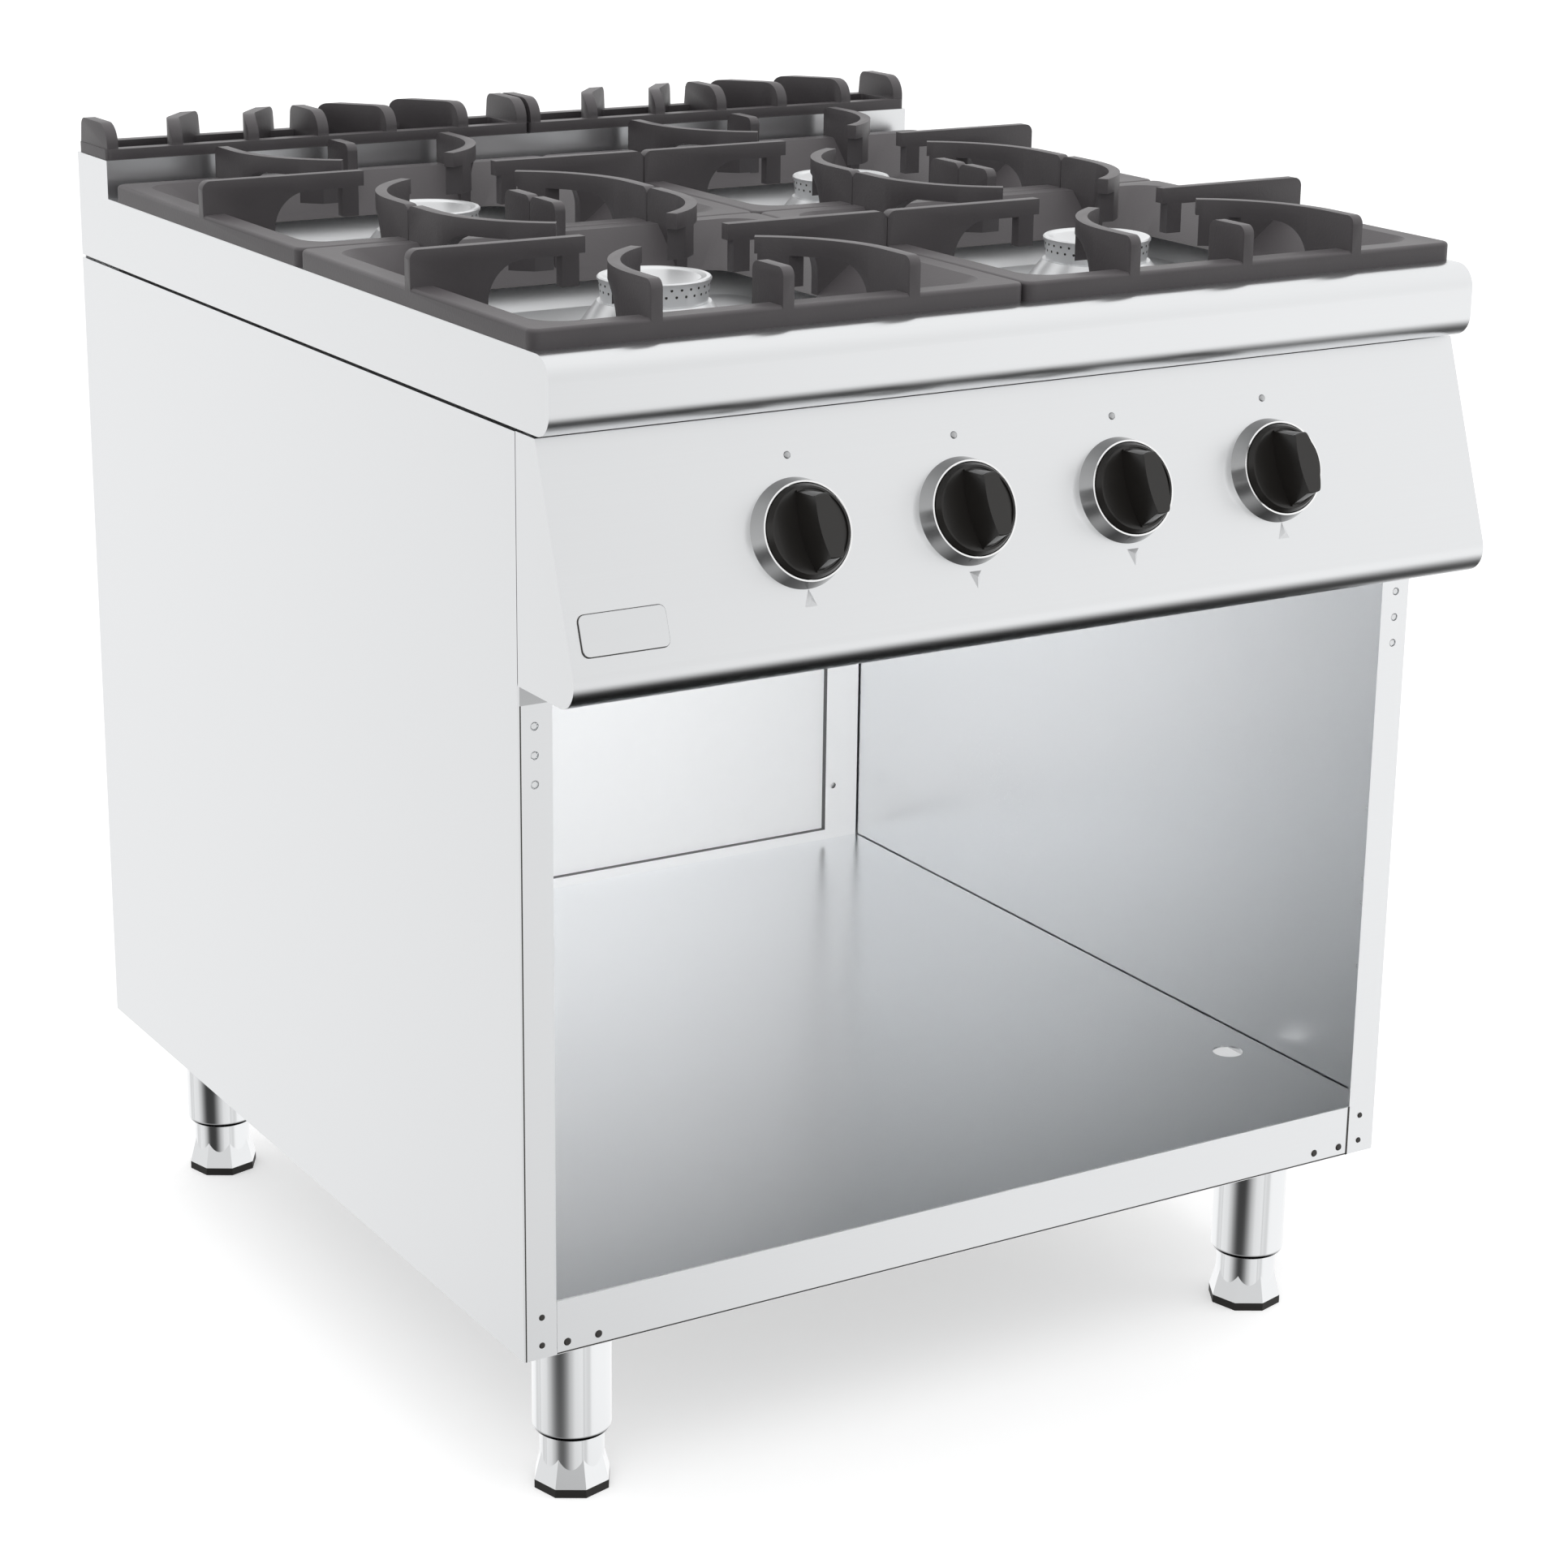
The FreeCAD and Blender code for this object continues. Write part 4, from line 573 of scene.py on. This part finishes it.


# %% [markdown]
# ## The plate on the panel
# A small plate is fixed to the lower left of the panel. It is a thin block with rounded
# corners and a soft edge. A dark block under it is a little larger and paints a fine
# shadow line round the plate. Two bevels make each of them from a cube: one on the standing
# edges, then a narrow one round the upper rim.

# %% Plate and its painted shadow line
PLATE_SIZE, SEAT_SIZE = Vector((67, 29, 1.2)) * MM, Vector((68, 30, 0.6)) * MM
PLATE_SPOT, SEAT_SPOT = Vector((-356.5, -50.0, 0.9)) * MM, Vector((-356.5, -50.0, 0.3)) * MM
PLATE_CORNER, SEAT_CORNER, CORNER_SEGMENTS = 5 * MM, 5.5 * MM, 6


def plate_block(name, size, spot, corner, finish):
    """A thin block on the panel with round corners and a soft upper rim."""
    shape = bmesh.new()
    bmesh.ops.create_cube(shape, size=1)
    bmesh.ops.scale(shape, vec=size, verts=shape.verts)
    standing = [e for e in shape.edges if abs((e.verts[0].co - e.verts[1].co).z) > size.z / 2]
    bmesh.ops.bevel(
        shape,
        geom=standing,
        offset=corner,
        affect="EDGES",
        segments=CORNER_SEGMENTS,
        profile=0.5,
        material=-1,
    )
    rim = [e for e in shape.edges if min(v.co.z for v in e.verts) > size.z / 4]
    bmesh.ops.bevel(
        shape, geom=rim, offset=size.z / 4, affect="EDGES", segments=1, profile=0.5, material=-1
    )
    bmesh.ops.transform(shape, matrix=PANEL @ Matrix.Translation(spot), verts=shape.verts)
    finish_piece(name, shape, finish, smooth=False)


plate_block("panel_plate", PLATE_SIZE, PLATE_SPOT, PLATE_CORNER, "plate_steel")
# painted shadow: a dark block a little larger than the plate draws a shadow line round it
plate_block("plate_shadow", SEAT_SIZE, SEAT_SPOT, SEAT_CORNER, "dark_rivet")

# %% [markdown]
# ## Marks beside the knobs
# Above each knob sits a small domed pin, and below it a raised triangle that points to
# the row of burners it controls: up for the rear row, down for the front row. A flattened
# ball makes the pin. A cone with three sides is already a raised triangle.

# %% Pins and triangles
PIN_RISE, PIN_RADIUS, PIN_FLATNESS, PIN_RINGS = 54.9 * MM, 2.8 * MM, 0.5, 10
MARK_DROP, MARK_RADIUS, MARK_HEIGHT, MARK_STRETCH = 47.5 * MM, 6.0 * MM, 2.4 * MM, 1.4
pins, marks = bmesh.new(), bmesh.new()
for body, joint in turning.items():
    side = joint["pos_m"][0]
    dome = bmesh.ops.create_uvsphere(
        pins, u_segments=2 * PIN_RINGS, v_segments=PIN_RINGS, radius=PIN_RADIUS
    )["verts"]
    bmesh.ops.scale(pins, vec=(1, 1, PIN_FLATNESS), verts=dome)
    place = PANEL @ Matrix.Translation((side, PIN_RISE, 0))
    bmesh.ops.transform(pins, matrix=place, verts=dome)
    wedge = bmesh.ops.create_cone(
        marks, cap_ends=True, segments=3, radius1=MARK_RADIUS, radius2=0, depth=MARK_HEIGHT
    )["verts"]
    bmesh.ops.scale(marks, vec=(1, MARK_STRETCH, 1), verts=wedge)
    turn = 0 if "rear" in body else math.pi
    place = PANEL @ Matrix.Translation((side, -MARK_DROP, MARK_HEIGHT / 2))
    bmesh.ops.transform(marks, matrix=place @ Matrix.Rotation(turn, 4, "Z"), verts=wedge)
finish_piece("panel_pins", pins, "pipe_steel")
finish_piece("panel_marks", marks, "bright_steel", smooth=False)

# %% [markdown]
# ## Gas ports
# Two rows of small holes ring each burner cap. They could be cut, but at this size a hole
# reads as a dark dot of shade. So each is a short eight-sided stud, dark as painted shade,
# that ends just proud of the tapered wall, and the second row is turned by half a step.

# %% Ports in the caps
PORTS_PER_ROW, PORT_SIDES, PORT_RADIUS, PORT_PROUD = 32, 8, 1.1 * MM, 0.08 * MM
PORT_DROPS = (5.2 * MM, 10.4 * MM)
LIP_OVERHANG, LIP_DEPTH = 1.0 * MM, 2.5 * MM
CAP_TAPER = 1.75 / 16
SIDEWAYS = Matrix.Rotation(math.pi / 2, 4, "Y")
for name in [n for n in nodes if n.startswith("burner_cap")]:
    low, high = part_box(name)
    middle = (low + high) / 2
    wall_radius = (high.x - low.x) / 2 - LIP_OVERHANG
    ports = bmesh.new()
    for row, drop in enumerate(PORT_DROPS):
        reach = wall_radius - (drop - LIP_DEPTH) * CAP_TAPER
        for step in range(PORTS_PER_ROW):
            stud = bmesh.ops.create_cone(
                ports,
                cap_ends=True,
                segments=PORT_SIDES,
                radius1=PORT_RADIUS,
                radius2=PORT_RADIUS,
                depth=2 * PORT_PROUD,
            )["verts"]
            angle = 2 * math.pi * (step + row / 2) / PORTS_PER_ROW
            aim = Matrix.Rotation(angle, 4, "Z") @ Matrix.Translation((reach, 0, 0)) @ SIDEWAYS
            place = Matrix.Translation((middle.x, middle.y, high.z - drop)) @ aim
            bmesh.ops.transform(ports, matrix=place, verts=stud)
    # painted shade: the dark studs stand for the shade inside the port holes
    finish_piece("ports_" + name, ports, "dark_rivet", body=name, smooth=False)
print("ports", PORTS_PER_ROW * len(PORT_DROPS), "per cap")

# %% [markdown]
# ## Rivets, screws and plugs
# Dark rivets hold the bottom rail and the uprights, and bright plugs sit in the holes at
# the top of the uprights. Each is a flat cone, set on a face that looks to the front or,
# for the shelf pins, to the middle of the cabinet. Both sides are mirror images, so one
# list of places serves the left and the right.

# %% Where the fasteners go
HEAD_HEIGHT, HEAD_TAPER, HEAD_SIDES = 1.0 * MM, 0.72, 20
SIDES = (-1, 1)
RIVETS_OUT, RIVET_RISE, RIVET_RADIUS = (338 * MM, 364 * MM), 8.5 * MM, 3.1 * MM
SCREW_OUT, SCREW_RISES, SCREW_RADIUS = 385 * MM, (10.5 * MM, 33 * MM), 2.5 * MM
PLUG_OUT, PLUG_DROPS, PLUG_RADIUS = 387 * MM, (16 * MM, 37.3 * MM, 58.6 * MM), 3.1 * MM
SHELF_PIN_HEIGHTS = (440 * MM, 379 * MM, 358 * MM, 302 * MM)
SHELF_PIN_INSET, SHELF_PIN_RADIUS, SHEET = 3 * MM, 2.2 * MM, 1.5 * MM
front_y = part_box("left_front_upright")[0].y
upright_low, upright_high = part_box("right_front_upright")
foot_z, top_z = upright_low.z, upright_high.z
on_front, in_hole = front_y - HEAD_HEIGHT / 2, front_y + HEAD_HEIGHT
return_face = upright_high.x - SHEET - HEAD_HEIGHT / 2
rivets = [(s * out, on_front, foot_z + RIVET_RISE) for s in SIDES for out in RIVETS_OUT]
screws = [(s * SCREW_OUT, on_front, foot_z + rise) for s in SIDES for rise in SCREW_RISES]
plugs = [(s * PLUG_OUT, in_hole, top_z - drop) for s in SIDES for drop in PLUG_DROPS]
shelf_pins = [(return_face, upright_high.y - SHELF_PIN_INSET, z) for z in SHELF_PIN_HEIGHTS]
print("fasteners", len(rivets) + len(screws) + len(plugs) + len(shelf_pins))

# %% [markdown]
# ## Heads on those places
# A cone starts with its axis along Z. One turn makes it look to the front, and another
# makes it look inwards.

# %% Small fasteners
FRONT = Matrix.Rotation(math.pi / 2, 4, "X")
INWARD = Matrix.Rotation(-math.pi / 2, 4, "Y")


def heads(name, spots, aim, radius, finish):
    """Round heads at given places, all looking the same way."""
    shape = bmesh.new()
    for spot in spots:
        head = bmesh.ops.create_cone(
            shape,
            cap_ends=True,
            segments=HEAD_SIDES,
            radius1=radius,
            radius2=radius * HEAD_TAPER,
            depth=HEAD_HEIGHT,
        )["verts"]
        bmesh.ops.transform(shape, matrix=Matrix.Translation(spot) @ aim, verts=head)
    finish_piece(name, shape, finish)


heads("rail_rivets", rivets, FRONT, RIVET_RADIUS, "dark_rivet")
heads("upright_screws", screws, FRONT, SCREW_RADIUS, "dark_rivet")
heads("upright_plugs", plugs, FRONT, PLUG_RADIUS, "bright_steel")
heads("shelf_pins", shelf_pins, INWARD, SHELF_PIN_RADIUS, "leg_steel")

# %% [markdown]
# ## Painted shade in the joints between the sheets
# Where the left upright meets its side panel, under the rail and at the rail's right end,
# the sheets leave a hairline that shade keeps black. A real gap this narrow would fill with
# reflected light in the render, so a thin dark strip on each joint paints that shade.

# %% Strips of painted shade in the joints
SEAM, SEAM_PROUD = 1.0 * MM, 0.1 * MM
left_low, left_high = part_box("left_front_upright")
rail_low, rail_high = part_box("front_bottom_rail")
seams = bmesh.new()


def seam(centre, width, height):
    """A thin dark strip of painted shade on the front of the carcass."""
    strip = bmesh.ops.create_cube(seams, size=1)["verts"]
    bmesh.ops.scale(seams, vec=(width, 2 * SEAM_PROUD, height), verts=strip)
    bmesh.ops.translate(seams, vec=(centre[0], front_y, centre[1]), verts=strip)


# painted shade: each dark strip stands for the shade in a joint
seam((left_low.x + SEAM / 2, (left_high.z + left_low.z) / 2), SEAM, left_high.z - left_low.z)
seam((0, rail_low.z + SEAM), rail_high.x - rail_low.x, SEAM)
seam((rail_high.x, (rail_low.z + rail_high.z) / 2), 2 * SEAM, rail_high.z - rail_low.z)
finish_piece("seams", seams, "dark_rivet", smooth=False)

# %% [markdown]
# ## Studio
# The photograph was taken in an all-white studio. To the camera the world is plain white.
# Steel shows whatever surrounds it, so for reflections the world is graded instead: bright
# to the right and behind, dim to the left front and straight below. That is what puts the
# dark bands on the round legs and on the rolled edge under the panel. Cards round the
# range could do the same, but a few ramps are quicker to tune.

# %% World
BRIGHT_SIDE = Vector((0.88, 0.47, 0.0)).normalized()
UPPER_STOPS = ((0.0, 0.78), (0.40, 0.78), (0.50, 0.86), (0.60, 1.0))
LOWER_STOPS = (
    (0.0, 0.02), (0.05, 0.06), (0.11, 0.55), (0.18, 0.86), (0.32, 0.94),
    (0.345, 0.70), (0.37, 0.88), (0.44, 0.78), (0.48, 0.79), (0.53, 1.02), (0.60, 1.06),
)
BELOW_STOPS = ((0.12, 0.0), (0.27, 1.0))
HORIZON_STOPS = ((0.42, 0.0), (0.52, 1.0))
AMBIENT = 0.75


def studio_world():
    world = bpy.data.worlds.new("studio")
    bpy.context.scene.world = world
    paint = Paint(world)
    ray = paint.node("ShaderNodeLightPath", output="Is Camera Ray")
    mirrored = paint.node("ShaderNodeLightPath", output="Is Glossy Ray")
    aim = paint.node("ShaderNodeTexCoord", output="Generated")
    toward = paint.node(
        "ShaderNodeVectorMath",
        {"operation": "DOT_PRODUCT"},
        {0: aim, 1: BRIGHT_SIDE},
        output="Value",
    )
    height = paint.node("ShaderNodeSeparateXYZ", None, {0: aim}, output="Z")
    turn, rise = toward * 0.5 + 0.5, height * 0.5 + 0.5
    upper = paint.node("ShaderNodeValToRGB", {"stops": UPPER_STOPS}, {0: turn})
    lower = paint.node("ShaderNodeValToRGB", {"stops": LOWER_STOPS}, {0: turn})
    below = paint.node("ShaderNodeValToRGB", {"stops": BELOW_STOPS}, {0: rise})
    above = paint.node("ShaderNodeValToRGB", {"stops": HORIZON_STOPS}, {0: rise})
    graded = mirrored * (upper * above + lower * below * (1 - above)) + ray
    plain = (1 - mirrored) * (1 - ray) * AMBIENT
    light = paint.node(
        "ShaderNodeBackground", None, {"Color": (1, 1, 1, 1), "Strength": graded + plain}
    )
    paint.node("ShaderNodeOutputWorld", None, {"Surface": light})
    print("world:", world.name, "with", len(world.node_tree.nodes), "nodes")


studio_world()

# %% [markdown]
# ## Floor
# The floor is a large white sheet. It glows a little, but only to the camera, so that it
# meets the white world without a line and still keeps the soft shadow under the range.
# Reflections pass it by and see the graded world.

# %% White floor
GROUND_REACH, GROUND_CLOUD, GROUND_MATT = 12, 2.0, 0.9
GROUND_SHADES, GROUND_GLOW = (0.90, 0.92), 0.46


def white_floor():
    paint = new_paint("floor_white")
    cloud = noise(paint, object_place(paint), GROUND_CLOUD)
    seen = paint.node("ShaderNodeLightPath", output="Is Camera Ray")
    low, high = (grey(shade) for shade in GROUND_SHADES)
    return surface(
        paint,
        {
            "Base Color": blend_colour(paint, cloud, low, high),
            "Roughness": GROUND_MATT,
            "Specular IOR Level": 0.0,
            "Emission Color": blend_colour(paint, seen, grey(0.0), grey(GROUND_GLOW)),
            "Emission Strength": 1.0,
        },
    )


sheet = bmesh.new()
bmesh.ops.create_grid(sheet, x_segments=1, y_segments=1, size=GROUND_REACH)
floor_mesh = bpy.data.meshes.new("floor")
sheet.to_mesh(floor_mesh)
sheet.free()
floor_mesh.materials.append(white_floor())
floor = bpy.data.objects.new("floor", floor_mesh)
floor.visible_glossy = False
bpy.context.scene.collection.objects.link(floor)
print("floor", 2 * GROUND_REACH, "m wide")

# %% [markdown]
# ## Lamps
# Three large soft lamps stand round the range and a smaller one lights the cabinet, whose
# back would be dull without it. Neither the camera nor the steel sees the lamps
# themselves: the graded world takes care of the reflections.

# %% Soft lamps
LAMPS = {  # place, aim, size, power
    "key": ((-2.2, -2.6, 3.4), (0, 0, 0.6), 2.0, 24),
    "fill": ((3.0, -2.0, 2.2), (0, 0, 0.6), 2.2, 12),
    "top": ((0.0, 0.6, 3.6), (0, 0, 0.9), 2.4, 16),
    "cabinet": ((0.08, -0.30, 0.46), (0.20, 0.43, 0.34), 0.5, 6.4),
}
for name, (spot, aim, size, power) in LAMPS.items():
    lamp = bpy.data.lights.new(name, "AREA")
    lamp.size = size
    lamp.energy = power
    holder = bpy.data.objects.new(name, lamp)
    holder.location = spot
    holder.rotation_euler = (Vector(aim) - Vector(spot)).to_track_quat("-Z", "Y").to_euler()
    holder.visible_glossy = False
    holder.visible_camera = False
    bpy.context.scene.collection.objects.link(holder)
print("lamps", [item.name for item in bpy.data.lights])

# %% [markdown]
# ## Camera
# The camera was matched to the photograph from the corners of the range: a long lens
# from the left front, a little above the hob. A small shift keeps the framing.

# %% Camera
PICTURE = 1932
SENSOR = 36.0
FOCAL_PIXELS = 4382.7
CENTRE_PIXEL = (900, 930)
CAMERA_SPOT = Vector((-1469.6, -2469.7, 1344.8)) * MM
AZIMUTH, ELEVATION, ROLL = (math.radians(angle) for angle in (30.537, 17.228, 0.48))
looking = Vector(
    (
        math.sin(AZIMUTH) * math.cos(ELEVATION),
        math.cos(AZIMUTH) * math.cos(ELEVATION),
        -math.sin(ELEVATION),
    )
)
lens = bpy.data.cameras.new("camera")
lens.sensor_width = SENSOR
lens.lens = FOCAL_PIXELS / PICTURE * SENSOR
lens.shift_x = (PICTURE / 2 - CENTRE_PIXEL[0]) / PICTURE
lens.shift_y = (CENTRE_PIXEL[1] - PICTURE / 2) / PICTURE
camera = bpy.data.objects.new("camera", lens)
camera.location = CAMERA_SPOT
level_view = looking.to_track_quat("-Z", "Y").to_matrix().to_4x4()
camera.rotation_euler = (level_view @ Matrix.Rotation(ROLL, 4, "Z")).to_euler()
bpy.context.scene.collection.objects.link(camera)
bpy.context.scene.camera = camera
bpy.context.scene.view_settings.view_transform = "Standard"
print("lens", round(lens.lens, 1), "mm")
